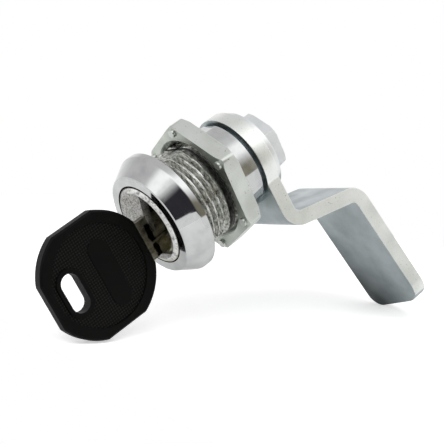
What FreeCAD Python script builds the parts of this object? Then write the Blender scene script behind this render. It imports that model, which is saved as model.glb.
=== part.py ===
# Cabinet cam lock with its key in the plug.
#
# The frame: +Y runs along the lock's axis, from the face that takes the key to the cam.
# +Z is up, and the cam hangs down along -Z, as it does when the door is locked.
# The origin is on the axis, in the plane of the panel that the head's back face rests on.
# Lengths are millimetres and angles are degrees.

import FreeCAD, Part
import os
import Sketcher

doc = FreeCAD.newDocument("cam_lock")
sheet = doc.addObject("Spreadsheet::Sheet", "Sizes")

# Driving dimensions, each used wherever a piece meets another.
SIZES = [
    # Head and barrel of the housing; each radius is a step in from the one before it
    ("head_radius", 14.0),
    ("head_length", 5.9),
    ("head_rim_length", 1.65),
    ("head_face_step", 2.5),
    ("head_edge_chamfer", 0.2),
    ("head_overhang", 3.0),
    ("thread_length", 12.4),
    ("thread_runout", 0.7),
    ("barrel_flat_depth", 0.95),
    ("tail_step", 0.7),
    ("housing_length", 18.4),
    ("bore_wall", 2.45),
    # Clearances
    ("turning_clearance", 0.05),
    ("face_gap", 0.3),
    ("seat_gap", 0.1),
    ("slot_clearance", 0.05),
    # Plug and its seal
    ("plug_ring_width", 2.35),
    ("plug_face_thickness", 1.6),
    ("seal_section", 1.2),
    ("recess_rim", 2.25),
    ("recess_depth", 3.0),
    ("square_corner_step", 0.73),
    # Stop disc at the back of the plug
    ("stop_disc_thickness", 1.5),
    ("stop_disc_gap", 0.4),
    ("stop_lug_width", 3.2),
    ("stop_lug_angle", 54.0),
    ("stop_notch_depth", 2.6),
    ("stop_notch_play", 1.0),
    ("quarter_turn", 90.0),
    ("rear_lip", 1.0),
    # Cam
    ("cam_thickness", 3.5),
    ("cam_width", 19.1),
    ("cam_end_margin", 0.7),
    ("cam_first_bend", 17.0),
    ("cam_step", 18.4),
    ("cam_slope", 12.4),
    ("cam_lean", 8.4),
    ("cam_reach", 54.3),
    ("cam_bend_inside", 1.5),
    ("cam_bend_outside", 5.6),
    ("cam_tip_skew", 11.3),
    ("cam_tip_small_radius", 3.0),
    ("cam_tip_large_radius", 5.5),
    # Cam screw and washer
    ("washer_margin", 1.0),
    ("washer_thickness", 1.6),
    ("screw_wall", 1.0),
    ("screw_length", 10.0),
    ("screw_head_step", 2.5),
    ("screw_head_height", 4.4),
    ("screw_chamfer", 0.6),
    # Hexagon nut on the barrel
    ("nut_wall", 2.5),
    ("nut_thickness", 3.9),
    ("nut_place", 8.4),
    ("nut_turn", 24.0),
    ("nut_corner_radius", 1.2),
    ("nut_chamfer", 1.0),
    ("nib_radius", 0.9),
    ("nib_height", 0.5),
    # Wafer tumblers and their springs
    ("wafer_count", 5),
    ("wafer_pitch", 2.4),
    ("wafer_first", 0.2),
    ("wafer_thickness", 1.2),
    ("wafer_half_width", 3.0),
    ("wafer_travel", 1.1),
    ("wafer_window_half_width", 1.35),
    ("wafer_lug_length", 1.6),
    ("wafer_lug_height", 1.2),
    ("wafer_lug_top", 0.2),
    ("groove_margin", 0.2),
    ("spring_length", 3.9),
    ("spring_radius", 0.55),
    # Key
    ("blade_width", 9.0),
    ("blade_thickness", 2.0),
    ("blade_floor", 1.1),
    ("blade_tip", 12.0),
    ("blade_tip_slope", 2.6),
    ("blade_root", 20.5),
    ("blade_groove_depth", 0.5),
    ("blade_groove_start", 8.1),
    ("blade_groove_runout", 1.3),
    ("blade_groove_width", 3.2),
    ("blade_groove_edge", 2.1),
    ("blade_rib_width", 0.6),
    ("keyway_end_gap", 0.6),
    ("bow_centre", 21.6),
    ("bow_radius", 13.4),
    ("bow_flats", 24.8),
    ("bow_thickness", 3.0),
    ("bow_rim_width", 1.5),
    ("bow_panel_depth", 0.3),
    ("bow_edge_chamfer", 0.4),
    ("ring_slot_width", 4.25),
    ("ring_slot_length", 8.8),
    ("ring_slot_place", 28.15),
    ("ring_slot_rim", 1.0),
]
for row, (alias, value) in enumerate(SIZES, start=1):
    sheet.set("A%d" % row, alias.replace("_", " "))
    sheet.set("B%d" % row, str(value))
    sheet.setAlias("B%d" % row, alias)
doc.recompute()

# Sizes that several pieces share, written once as formulas on the sheet's values.
HEAD_FACE = "(-Sizes.head_length)"
HEAD_FACE_RADIUS = "(Sizes.head_radius - Sizes.head_face_step)"
THREAD_RADIUS = "(Sizes.head_radius - Sizes.head_overhang)"
BARREL_FLAT = "(%s - Sizes.barrel_flat_depth)" % THREAD_RADIUS
TAIL_RADIUS = "(%s - Sizes.tail_step)" % THREAD_RADIUS
BORE_RADIUS = "(%s - Sizes.bore_wall)" % TAIL_RADIUS
PLUG_RADIUS = "(%s - Sizes.turning_clearance)" % BORE_RADIUS
PLUG_FACE_RADIUS = "(%s - Sizes.plug_ring_width)" % HEAD_FACE_RADIUS
PLUG_FLANGE_BACK = "(%s + Sizes.plug_face_thickness)" % HEAD_FACE
RECESS_RADIUS = "(%s - Sizes.recess_rim)" % PLUG_FACE_RADIUS
SEAL_SEAT = "(%s + Sizes.seal_section + Sizes.turning_clearance)" % PLUG_FLANGE_BACK
FACE_BORE = "(%s + Sizes.face_gap)" % PLUG_FACE_RADIUS
CAM_FRONT = "(Sizes.housing_length + Sizes.face_gap)"
CAM_BACK = "(%s + Sizes.cam_thickness)" % CAM_FRONT
CAM_END_RADIUS = "(%s + Sizes.cam_end_margin)" % TAIL_RADIUS
PLUG_BACK = "(%s - Sizes.stop_disc_thickness)" % CAM_FRONT
REAR_SEAT = "(%s - Sizes.seat_gap)" % PLUG_BACK
REAR_BORE = "(%s - Sizes.rear_lip)" % TAIL_RADIUS
STOP_RADIUS = "(%s - Sizes.stop_disc_gap)" % REAR_BORE
SQUARE_HALF = "((%s - Sizes.square_corner_step) * cos(45))" % PLUG_RADIUS
SQUARE_HOLE_HALF = "(%s + Sizes.slot_clearance)" % SQUARE_HALF
SCREW_RADIUS = "(%s - Sizes.screw_wall)" % SQUARE_HALF
WASHER_BACK = "(%s + Sizes.washer_thickness)" % CAM_BACK
BLADE_BOTTOM = "(Sizes.blade_floor - %s)" % PLUG_RADIUS
BLADE_TOP = "(%s + Sizes.blade_width)" % BLADE_BOTTOM
BLADE_MIDDLE = "(%s + Sizes.blade_width / 2)" % BLADE_BOTTOM
BLADE_HALF = "(Sizes.blade_thickness / 2)"
WAFER_RADIUS = "(%s - Sizes.slot_clearance)" % PLUG_RADIUS
GROOVE_RADIUS = "(%s + Sizes.wafer_travel + Sizes.groove_margin)" % WAFER_RADIUS
SLOT_HALF = "(Sizes.wafer_half_width + Sizes.slot_clearance)"
NUT_BORE = "(%s + Sizes.turning_clearance)" % THREAD_RADIUS
NUT_CORNER = "((%s + Sizes.nut_wall) / cos(30))" % THREAD_RADIUS


def number(formula):
    """The value that a formula on the sheet has now."""
    value = sheet.evalExpression(formula)
    return float(getattr(value, "Value", value))


def new_body(name):
    """A body whose label is the name of the piece."""
    body = doc.addObject("PartDesign::Body", name)
    body.Label = name
    return body


def origin_feature(body, role):
    """One of the body's own origin planes or axes."""
    for feature in body.Origin.OriginFeatures:
        if feature.Role == role:
            return feature
    raise ValueError(role)


def new_sketch(body, name, role, distance="0"):
    """A sketch on one of the body's origin planes, moved along the plane's normal."""
    sketch = body.newObject("Sketcher::SketchObject", name)
    sketch.AttachmentSupport = [(origin_feature(body, role), "")]
    sketch.MapMode = "FlatFace"
    sketch.setExpression("AttachmentOffset.Base.z", distance)
    return sketch


def cross_sketch(body, name, place="0"):
    """A sketch square to the lock's axis at a place along it: its x is X and its y is Z."""
    return new_sketch(body, name, "XZ_Plane", "-(%s)" % place)


def bind(sketch, kind, geometry, point, formula):
    """A dimension from the sketch's origin to a point, tied to a formula."""
    if kind == "Radius":
        constraint = Sketcher.Constraint(kind, geometry, number(formula))
    else:
        constraint = Sketcher.Constraint(kind, -1, 1, geometry, point, number(formula))
    index = sketch.addConstraint(constraint)
    sketch.setExpression("Constraints[%d]" % index, formula)


def outline(sketch, corners):
    """A closed outline of straight lines; each corner is a pair of formulas."""
    points = [FreeCAD.Vector(number(across), number(up), 0) for across, up in corners]
    first = sketch.GeometryCount
    count = len(points)
    for place in range(count):
        line = Part.LineSegment(points[place], points[(place + 1) % count])
        sketch.addGeometry(line, False)
    for place in range(count):
        following = first + (place + 1) % count
        sketch.addConstraint(Sketcher.Constraint("Coincident", first + place, 2, following, 1))
    for place, (across, up) in enumerate(corners):
        bind(sketch, "DistanceX", first + place, 1, across)
        bind(sketch, "DistanceY", first + place, 1, up)


def rectangle(sketch, left, right, low, high):
    """A rectangle between four formulas."""
    outline(sketch, [(left, low), (right, low), (right, high), (left, high)])


def circle(sketch, radius, across="0", up="0"):
    """A circle with its centre tied to two formulas."""
    centre = FreeCAD.Vector(number(across), number(up), 0)
    index = sketch.addGeometry(Part.Circle(centre, FreeCAD.Vector(0, 0, 1), number(radius)), False)
    bind(sketch, "DistanceX", index, 3, across)
    bind(sketch, "DistanceY", index, 3, up)
    bind(sketch, "Radius", index, 3, radius)


def stadium(sketch, half_width, half_length, across, up):
    """A slot with round ends whose long way is the sketch's y."""
    turn = FreeCAD.Vector(0, 0, 1)
    reach = "(%s - %s)" % (half_length, half_width)
    middle = number(across)
    ends = [number("%s + %s" % (up, reach)), number("%s - %s" % (up, reach))]
    radius = number(half_width)
    first = sketch.GeometryCount
    for end, (start, stop) in zip(ends, ((0, 180), (180, 360))):
        full = Part.Circle(FreeCAD.Vector(middle, end, 0), turn, radius)
        sketch.addGeometry(
            Part.ArcOfCircle(full, number("%d / 180 * pi" % start), number("%d / 180 * pi" % stop)),
            False,
        )
    left = Part.LineSegment(
        FreeCAD.Vector(middle - radius, ends[0], 0), FreeCAD.Vector(middle - radius, ends[1], 0)
    )
    right = Part.LineSegment(
        FreeCAD.Vector(middle + radius, ends[1], 0), FreeCAD.Vector(middle + radius, ends[0], 0)
    )
    sketch.addGeometry(left, False)
    sketch.addGeometry(right, False)
    for one, point, other, far in (
        (first, 2, first + 2, 1),
        (first + 2, 2, first + 1, 1),
        (first + 1, 2, first + 3, 1),
        (first + 3, 2, first, 1),
    ):
        sketch.addConstraint(Sketcher.Constraint("Tangent", one, point, other, far))
    bind(sketch, "DistanceX", first, 3, across)
    bind(sketch, "DistanceY", first, 3, "%s + %s" % (up, reach))
    bind(sketch, "DistanceY", first + 1, 3, "%s - %s" % (up, reach))
    bind(sketch, "Radius", first, 3, half_width)


def solid_feature(body, kind, sketch, name):
    """A feature made from a sketch."""
    feature = body.newObject("PartDesign::" + kind, name)
    feature.Profile = sketch
    return feature


def pad(body, sketch, name, length, backwards=False, both_ways=False):
    """Material along the sketch's normal, or against it, or half each way."""
    feature = solid_feature(body, "Pad", sketch, name)
    feature.setExpression("Length", length)
    feature.Reversed = backwards
    if both_ways:
        feature.SideType = "Symmetric"
    doc.recompute()
    return feature


def pocket(body, sketch, name, length, backwards=False, both_ways=False):
    """A cut against the sketch's normal, or along it, or half each way. It has to take material."""
    before = body.Shape.Volume
    feature = solid_feature(body, "Pocket", sketch, name)
    feature.setExpression("Length", length)
    feature.Reversed = backwards
    if both_ways:
        feature.SideType = "Symmetric"
    doc.recompute()
    if not body.Shape.Volume < before:
        raise ValueError(name + " cuts nothing")
    return feature


def revolve(body, sketch, name):
    """The sketch turned once round the lock's axis."""
    feature = solid_feature(body, "Revolution", sketch, name)
    feature.ReferenceAxis = (sketch, ["V_Axis"])
    doc.recompute()
    return feature


def groove(body, sketch, name):
    """A cut that runs once round the lock's axis."""
    before = body.Shape.Volume
    feature = solid_feature(body, "Groove", sketch, name)
    feature.ReferenceAxis = (sketch, ["V_Axis"])
    doc.recompute()
    if not body.Shape.Volume < before:
        raise ValueError(name + " cuts nothing")
    return feature


def dress_edges(body, kind, name, size, wanted):
    """A fillet or a chamfer on the edges of the last feature that the test picks."""
    base = body.Tip
    names = ["Edge%d" % place for place, edge in enumerate(base.Shape.Edges, start=1) if wanted(edge)]
    if not names:
        raise ValueError(name + " finds no edge")
    feature = body.newObject("PartDesign::" + kind, name)
    feature.Base = (base, names)
    feature.setExpression("Radius" if kind == "Fillet" else "Size", size)
    doc.recompute()
    return feature


def near(value, formula, slack=0.02):
    """True where a length agrees with a formula."""
    return abs(value - number(formula)) < slack


def is_circle(edge, radius, place):
    """True for a circle round the lock's axis, of this radius and at this place."""
    if not isinstance(edge.Curve, Part.Circle):
        return False
    centred = abs(edge.Curve.Center.x) < 0.02 and abs(edge.Curve.Center.z) < 0.02
    return centred and near(edge.Curve.Radius, radius) and near(edge.Curve.Center.y, place)


def hexagon(sketch, corner_radius, first_angle="0"):
    """A hexagon about the axis, with its first corner at an angle from X towards Z."""
    corners = []
    for side in range(6):
        angle = "(%s + %d)" % (first_angle, 60 * side)
        corners.append(("%s * cos(%s)" % (corner_radius, angle), "%s * sin(%s)" % (corner_radius, angle)))
    outline(sketch, corners)


def make_housing():
    """Turned head, threaded barrel with two flats, plain tail, and a stepped bore through all."""
    body = new_body("housing")
    profile = new_sketch(body, "housing_profile", "XY_Plane")
    outline(profile, [
        (FACE_BORE, HEAD_FACE),
        (HEAD_FACE_RADIUS, HEAD_FACE),
        ("Sizes.head_radius", "-Sizes.head_rim_length"),
        ("Sizes.head_radius", "0"),
        (THREAD_RADIUS, "0"),
        (THREAD_RADIUS, "Sizes.thread_length"),
        (TAIL_RADIUS, "Sizes.thread_length + Sizes.thread_runout"),
        (TAIL_RADIUS, "Sizes.housing_length"),
        (REAR_BORE, "Sizes.housing_length"),
        (REAR_BORE, REAR_SEAT),
        (BORE_RADIUS, REAR_SEAT),
        (BORE_RADIUS, SEAL_SEAT),
        (FACE_BORE, SEAL_SEAT),
    ])
    revolve(body, profile, "housing_turned")
    beyond = "(%s + 1)" % THREAD_RADIUS
    flats = cross_sketch(body, "barrel_flat_lines")
    rectangle(flats, "-%s" % beyond, beyond, BARREL_FLAT, beyond)
    rectangle(flats, "-%s" % beyond, beyond, "-%s" % beyond, "-" + BARREL_FLAT)
    pocket(body, flats, "barrel_flats", "Sizes.housing_length")
    # Two broached grooves take the wafers where the key can be drawn: below, and a quarter turn on.
    inner = "(%s - 1)" % BORE_RADIUS
    slot = "(%s + Sizes.groove_margin)" % SLOT_HALF
    grooves = cross_sketch(body, "wafer_groove_lines", REAR_SEAT)
    rectangle(grooves, "-%s" % slot, slot, "-%s" % GROOVE_RADIUS, "-%s" % inner)
    rectangle(grooves, "-%s" % GROOVE_RADIUS, "-%s" % inner, "-%s" % slot, slot)
    groove_start = "(Sizes.wafer_first - Sizes.wafer_thickness)"
    pocket(body, grooves, "wafer_grooves", "%s - %s" % (REAR_SEAT, groove_start), backwards=True)
    # The notch in the tail's wall that the stop lug travels in.
    half_lug = "(asin(Sizes.stop_lug_width / 2 / %s) / (1 deg))" % STOP_RADIUS
    start = "(Sizes.stop_lug_angle - %s - Sizes.stop_notch_play)" % half_lug
    sweep = "(Sizes.quarter_turn + 2 * %s + 2 * Sizes.stop_notch_play)" % half_lug
    notch = cross_sketch(body, "stop_notch_lines", "Sizes.housing_length")
    steps = 4
    corners = []
    for radius, order in ((beyond, range(steps + 1)), (STOP_RADIUS, range(steps, -1, -1))):
        for step in order:
            angle = "(%s + %s * %d / %d)" % (start, sweep, step, steps)
            corners.append(("%s * cos(%s)" % (radius, angle), "-%s * sin(%s)" % (radius, angle)))
    outline(notch, corners)
    pocket(body, notch, "stop_notch", "Sizes.stop_notch_depth", backwards=True)
    dress_edges(body, "Chamfer", "head_edges", "Sizes.head_edge_chamfer", lambda edge: (
        is_circle(edge, HEAD_FACE_RADIUS, HEAD_FACE)
        or is_circle(edge, "Sizes.head_radius", "-Sizes.head_rim_length")
        or is_circle(edge, "Sizes.head_radius", "0")
    ))
    return body


def make_hex_nut():
    """Thin hexagon nut, its corners rounded and chamfered, with six small nibs on its front face."""
    body = new_body("hex_nut")
    back = "(Sizes.nut_place + Sizes.nut_thickness)"
    plan = cross_sketch(body, "nut_plan", "Sizes.nut_place")
    hexagon(plan, NUT_CORNER, "Sizes.nut_turn")
    pad(body, plan, "nut_blank", "Sizes.nut_thickness", backwards=True)
    dress_edges(body, "Fillet", "nut_corners", "Sizes.nut_corner_radius", lambda edge: (
        near(edge.Length, "Sizes.nut_thickness")
    ))
    hole = cross_sketch(body, "nut_hole", "Sizes.nut_place")
    circle(hole, NUT_BORE)
    pocket(body, hole, "nut_bore", "Sizes.nut_thickness")
    chamfers = new_sketch(body, "nut_chamfer_lines", "XY_Plane")
    outside = "(%s + 1)" % NUT_CORNER
    inside = "(%s - Sizes.nut_chamfer)" % NUT_CORNER
    slope = "((Sizes.nut_chamfer + 1) * tan(30))"
    outline(chamfers, [(inside, back), (outside, "%s - %s" % (back, slope)), (outside, back)])
    outline(chamfers, [
        (inside, "Sizes.nut_place"),
        (outside, "Sizes.nut_place"),
        (outside, "Sizes.nut_place + %s" % slope),
    ])
    outline(chamfers, [
        (NUT_BORE, "Sizes.nut_place"),
        ("%s + Sizes.nut_chamfer" % NUT_BORE, "Sizes.nut_place"),
        (NUT_BORE, "Sizes.nut_place + Sizes.nut_chamfer"),
    ])
    groove(body, chamfers, "nut_chamfers")
    nibs = cross_sketch(body, "nib_circle_lines", "Sizes.nut_place")
    nib_circle = "((%s + Sizes.nut_chamfer + %s) / 2)" % (NUT_BORE, NUT_CORNER)
    circle(
        nibs,
        "Sizes.nib_radius",
        "%s * cos(Sizes.nut_turn)" % nib_circle,
        "%s * sin(Sizes.nut_turn)" % nib_circle,
    )
    nib = pad(body, nibs, "nib", "Sizes.nib_height")
    ring = body.newObject("PartDesign::PolarPattern", "nib_ring")
    ring.Originals = [nib]
    ring.Axis = (origin_feature(body, "Y_Axis"), [""])
    ring.Angle = 360
    ring.Occurrences = 6
    body.Tip = ring
    doc.recompute()
    return body


def make_plug():
    """Round plug with a face flange, a half-moon recess, the keyway, wafer slots and a square tail."""
    body = new_body("plug")
    profile = new_sketch(body, "plug_profile", "XY_Plane")
    outline(profile, [
        ("0", HEAD_FACE),
        (PLUG_FACE_RADIUS, HEAD_FACE),
        (PLUG_FACE_RADIUS, PLUG_FLANGE_BACK),
        (PLUG_RADIUS, PLUG_FLANGE_BACK),
        (PLUG_RADIUS, PLUG_BACK),
        ("0", PLUG_BACK),
    ])
    revolve(body, profile, "plug_turned")
    tail = cross_sketch(body, "tail_square_lines", PLUG_BACK)
    rectangle(tail, "-" + SQUARE_HALF, SQUARE_HALF, "-" + SQUARE_HALF, SQUARE_HALF)
    tail_length = "(Sizes.stop_disc_thickness + Sizes.cam_thickness - Sizes.seat_gap)"
    pad(body, tail, "tail_square_pad", tail_length, backwards=True)
    # The recess lies on one side of the key only, its straight side flush with the keyway.
    wall = "(%s + Sizes.slot_clearance)" % BLADE_HALF
    start = "(acos(%s / %s) / (1 deg))" % (wall, RECESS_RADIUS)
    steps = 12
    corners = []
    for step in range(steps + 1):
        angle = "(-%s + 2 * %s * %d / %d)" % (start, start, step, steps)
        corners.append(("%s * cos(%s)" % (RECESS_RADIUS, angle), "%s * sin(%s)" % (RECESS_RADIUS, angle)))
    recess = cross_sketch(body, "recess_lines", HEAD_FACE)
    outline(recess, corners)
    pocket(body, recess, "face_recess", "Sizes.recess_depth")
    keyway = cross_sketch(body, "keyway_lines", HEAD_FACE)
    rectangle(
        keyway,
        "-" + wall,
        wall,
        "%s - Sizes.slot_clearance" % BLADE_BOTTOM,
        "%s + Sizes.slot_clearance" % BLADE_TOP,
    )
    keyway_end = "(Sizes.blade_tip + Sizes.keyway_end_gap)"
    pocket(body, keyway, "keyway", "%s - %s" % (keyway_end, HEAD_FACE))
    half_slot = "(Sizes.wafer_thickness / 2 + Sizes.slot_clearance)"
    slots = new_sketch(body, "wafer_slot_lines", "XY_Plane")
    rectangle(
        slots,
        "-" + SLOT_HALF,
        SLOT_HALF,
        "Sizes.wafer_first - %s" % half_slot,
        "Sizes.wafer_first + %s" % half_slot,
    )
    slot = pocket(body, slots, "wafer_slot", "4 * " + BORE_RADIUS, both_ways=True)
    # Beside each slot is the pocket for the wafer's lug and the spring that stands on it.
    room = cross_sketch(body, "spring_pocket_lines", "Sizes.wafer_first - %s" % half_slot)
    rectangle(
        room,
        SLOT_HALF,
        "%s + Sizes.wafer_lug_length + Sizes.slot_clearance" % SLOT_HALF,
        "Sizes.wafer_lug_top - Sizes.wafer_lug_height - Sizes.wafer_travel - Sizes.groove_margin",
        "Sizes.wafer_lug_top + Sizes.spring_length + Sizes.seat_gap",
    )
    pocket_feature = pocket(body, room, "spring_pocket", "2 * %s" % half_slot)
    row = body.newObject("PartDesign::LinearPattern", "wafer_slots")
    row.Originals = [slot, pocket_feature]
    row.Direction = (origin_feature(body, "Y_Axis"), [""])
    row.setExpression("Length", "Sizes.wafer_pitch * (Sizes.wafer_count - 1)")
    row.setExpression("Occurrences", "Sizes.wafer_count")
    body.Tip = row
    doc.recompute()
    thread = cross_sketch(body, "screw_hole_lines", "%s - Sizes.seat_gap" % CAM_BACK)
    circle(thread, "%s + Sizes.slot_clearance" % SCREW_RADIUS)
    hole_depth = "(Sizes.screw_length - Sizes.washer_thickness + Sizes.seat_gap)"
    pocket(body, thread, "screw_hole", hole_depth, backwards=True)
    return body


def make_plug_seal():
    """Rubber ring that lies between the plug's flange and its seat in the head."""
    body = new_body("plug_seal")
    half = "(Sizes.seal_section / 2)"
    middle = "(%s + Sizes.slot_clearance + %s)" % (PLUG_RADIUS, half)
    place = "(%s + %s)" % (PLUG_FLANGE_BACK, half)
    section = new_sketch(body, "seal_section_lines", "XY_Plane")
    sides = 8
    corners = []
    for side in range(sides):
        angle = 360 * (side + 0.5) / sides
        corners.append((
            "%s + %s * cos(%.1f)" % (middle, half, angle),
            "%s + %s * sin(%.1f)" % (place, half, angle),
        ))
    outline(section, corners)
    revolve(body, section, "seal_ring")
    return body


def make_stop_disc():
    """Disc on the plug's square tail; its lug meets the ends of the housing's notch."""
    body = new_body("stop_disc")
    plan = cross_sketch(body, "stop_disc_plan", PLUG_BACK)
    circle(plan, STOP_RADIUS)
    pad(body, plan, "stop_disc_blank", "Sizes.stop_disc_thickness", backwards=True)
    lug = cross_sketch(body, "stop_lug_lines", PLUG_BACK)
    out = TAIL_RADIUS
    root = "(%s - 1)" % STOP_RADIUS
    corners = []
    for reach, side in ((root, "-"), (out, "-"), (out, "+"), (root, "+")):
        along = ("cos(Sizes.stop_lug_angle)", "-sin(Sizes.stop_lug_angle)")
        across = ("sin(Sizes.stop_lug_angle)", "cos(Sizes.stop_lug_angle)")
        corners.append(tuple(
            "%s * %s %s Sizes.stop_lug_width / 2 * %s" % (reach, along[axis], side, across[axis])
            for axis in (0, 1)
        ))
    outline(lug, corners)
    pad(body, lug, "stop_lug", "Sizes.stop_disc_thickness", backwards=True)
    square_hole(body, PLUG_BACK, "Sizes.stop_disc_thickness")
    return body


def square_hole(body, front, thickness):
    """The square hole that fits over the plug's tail."""
    hole = cross_sketch(body, body.Name + "_square", front)
    rectangle(hole, "-" + SQUARE_HOLE_HALF, SQUARE_HOLE_HALF, "-" + SQUARE_HOLE_HALF, SQUARE_HOLE_HALF)
    pocket(body, hole, body.Name + "_hole", thickness)


def make_cam():
    """Strip with a round mounting end, bent back and then down again to a round-cornered tip."""
    body = new_body("cam")
    # The strip's front line runs down, back along the slope, and down again with a slight lean.
    bend = (CAM_FRONT, "(-Sizes.cam_first_bend)")
    step = "(Sizes.cam_step * tan(Sizes.cam_slope))"
    second = ("(%s + Sizes.cam_step)" % CAM_FRONT, "(%s - %s)" % (bend[1], step))
    strip_end = "(-Sizes.cam_reach - Sizes.cam_thickness)"
    drop = "(%s - %s)" % (second[1], strip_end)
    tip = ("(%s + %s * tan(Sizes.cam_lean))" % (second[0], drop), strip_end)
    # Where the back line's corners lie follows from the thickness and the angles of the two bends.
    first_turn = "(tan((90 - Sizes.cam_slope) / 2) * Sizes.cam_thickness)"
    second_turn = "(tan((90 - Sizes.cam_slope - Sizes.cam_lean) / 2) * Sizes.cam_thickness)"
    back_first = (CAM_BACK, "(%s + %s)" % (bend[1], first_turn))
    along = "(%s * cos(Sizes.cam_slope) + Sizes.cam_thickness * sin(Sizes.cam_slope))" % second_turn
    across = "(Sizes.cam_thickness * cos(Sizes.cam_slope) - %s * sin(Sizes.cam_slope))" % second_turn
    back_second = ("(%s + %s)" % (second[0], along), "(%s + %s)" % (second[1], across))
    back_tip = (
        "(%s + Sizes.cam_thickness * cos(Sizes.cam_lean))" % tip[0],
        "(%s + Sizes.cam_thickness * sin(Sizes.cam_lean))" % tip[1],
    )
    side = new_sketch(body, "cam_side_lines", "YZ_Plane")
    outline(side, [(CAM_FRONT, "0"), bend, second, tip, back_tip, back_second, back_first, (CAM_BACK, "0")])
    pad(body, side, "cam_strip", "Sizes.cam_width", both_ways=True)

    def bend_edge(edge, corner):
        ends = [vertex.Point for vertex in edge.Vertexes]
        return all(near(end.y, corner[0]) and near(end.z, corner[1]) for end in ends)

    dress_edges(body, "Fillet", "bends_inside", "Sizes.cam_bend_inside", lambda edge: (
        bend_edge(edge, second) or bend_edge(edge, back_first)
    ))
    dress_edges(body, "Fillet", "bends_outside", "Sizes.cam_bend_outside", lambda edge: (
        bend_edge(edge, bend) or bend_edge(edge, back_second)
    ))
    # The tip is cut off at a slant, and its two corners are rounded by different amounts.
    half = "(Sizes.cam_width / 2)"
    rise = "(%s * tan(Sizes.cam_tip_skew))" % half
    low = "(%s - Sizes.cam_reach)" % strip_end
    slant = cross_sketch(body, "tip_slant_lines", CAM_FRONT)
    outline(slant, [
        ("-2 * " + half, "-Sizes.cam_reach - " + rise),
        ("-2 * " + half, low),
        ("2 * " + half, low),
        ("2 * " + half, "-Sizes.cam_reach + 3 * " + rise),
    ])
    pocket(body, slant, "tip_slant", "2 * Sizes.cam_step")
    high = number("-Sizes.cam_reach + 3 * " + rise)

    def tip_edge(edge, side):
        ends = [vertex.Point for vertex in edge.Vertexes]
        along_thickness = abs(ends[0].y - ends[-1].y) > number("Sizes.cam_thickness / 2")
        return along_thickness and all(end.z < high and near(end.x, side) for end in ends)

    for name, side in (("small", "-" + half), ("large", half)):
        dress_edges(body, "Fillet", "tip_%s_corner" % name, "Sizes.cam_tip_%s_radius" % name, (
            lambda edge, side=side: tip_edge(edge, side)
        ))
    disc = cross_sketch(body, "cam_end_lines", CAM_FRONT)
    circle(disc, CAM_END_RADIUS)
    pad(body, disc, "cam_end", "Sizes.cam_thickness", backwards=True)
    square_hole(body, CAM_FRONT, "Sizes.cam_thickness")
    return body


def make_cam_washer():
    """Plain washer between the cam and the screw's head."""
    body = new_body("cam_washer")
    plan = cross_sketch(body, "washer_plan", CAM_BACK)
    circle(plan, "%s - Sizes.washer_margin" % CAM_END_RADIUS)
    circle(plan, "%s + Sizes.face_gap" % SCREW_RADIUS)
    pad(body, plan, "washer_blank", "Sizes.washer_thickness", backwards=True)
    return body


def make_cam_screw():
    """Hexagon-head screw along the axis, holding the cam on the plug's tail."""
    body = new_body("cam_screw")
    head = cross_sketch(body, "screw_head_plan", WASHER_BACK)
    corner = "((%s + Sizes.screw_head_step) / cos(30))" % SCREW_RADIUS
    hexagon(head, corner, "Sizes.nut_turn")
    pad(body, head, "screw_head", "Sizes.screw_head_height", backwards=True)
    back = "(%s + Sizes.screw_head_height)" % WASHER_BACK
    chamfer = new_sketch(body, "screw_chamfer_lines", "XY_Plane")
    outside = "(%s + 1)" % corner
    inside = "(%s - Sizes.screw_chamfer)" % corner
    slope = "((Sizes.screw_chamfer + 1) * tan(30))"
    outline(chamfer, [(inside, back), (outside, "%s - %s" % (back, slope)), (outside, back)])
    groove(body, chamfer, "screw_chamfer")
    shank = cross_sketch(body, "screw_shank_plan", WASHER_BACK)
    circle(shank, SCREW_RADIUS)
    pad(body, shank, "screw_shank", "Sizes.screw_length")
    return body


def wafer_place(index):
    """Where along the axis the middle of a wafer is."""
    return "(Sizes.wafer_first + Sizes.wafer_pitch * %d)" % index


def make_wafer(index):
    """Wafer tumbler: a plate that just fills the plug, with a window for the key and a spring lug."""
    body = new_body("wafer_%d" % (index + 1))
    front = "%s - Sizes.wafer_thickness / 2" % wafer_place(index)
    plan = cross_sketch(body, "wafer_round_%d" % index, front)
    circle(plan, WAFER_RADIUS)
    pad(body, plan, "wafer_blank_%d" % index, "Sizes.wafer_thickness", backwards=True)
    sides = cross_sketch(body, "wafer_sides_%d" % index, front)
    half = "Sizes.wafer_half_width"
    beyond = BORE_RADIUS
    lug_end = "(Sizes.wafer_half_width + Sizes.wafer_lug_length)"
    lug_low = "(Sizes.wafer_lug_top - Sizes.wafer_lug_height)"
    rectangle(sides, "-" + beyond, "-" + half, "-" + beyond, beyond)
    outline(sides, [
        (half, "-" + beyond),
        (beyond, "-" + beyond),
        (beyond, beyond),
        (half, beyond),
        (half, "Sizes.wafer_lug_top"),
        (lug_end, "Sizes.wafer_lug_top"),
        (lug_end, lug_low),
        (half, lug_low),
    ])
    pocket(body, sides, "wafer_trim_%d" % index, "Sizes.wafer_thickness")
    window = cross_sketch(body, "wafer_window_lines_%d" % index, front)
    rectangle(
        window,
        "-Sizes.wafer_window_half_width",
        "Sizes.wafer_window_half_width",
        "%s - Sizes.slot_clearance" % BLADE_BOTTOM,
        "%s + Sizes.wafer_travel + Sizes.slot_clearance" % BLADE_TOP,
    )
    pocket(body, window, "wafer_window_%d" % index, "Sizes.wafer_thickness")
    return body


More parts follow.
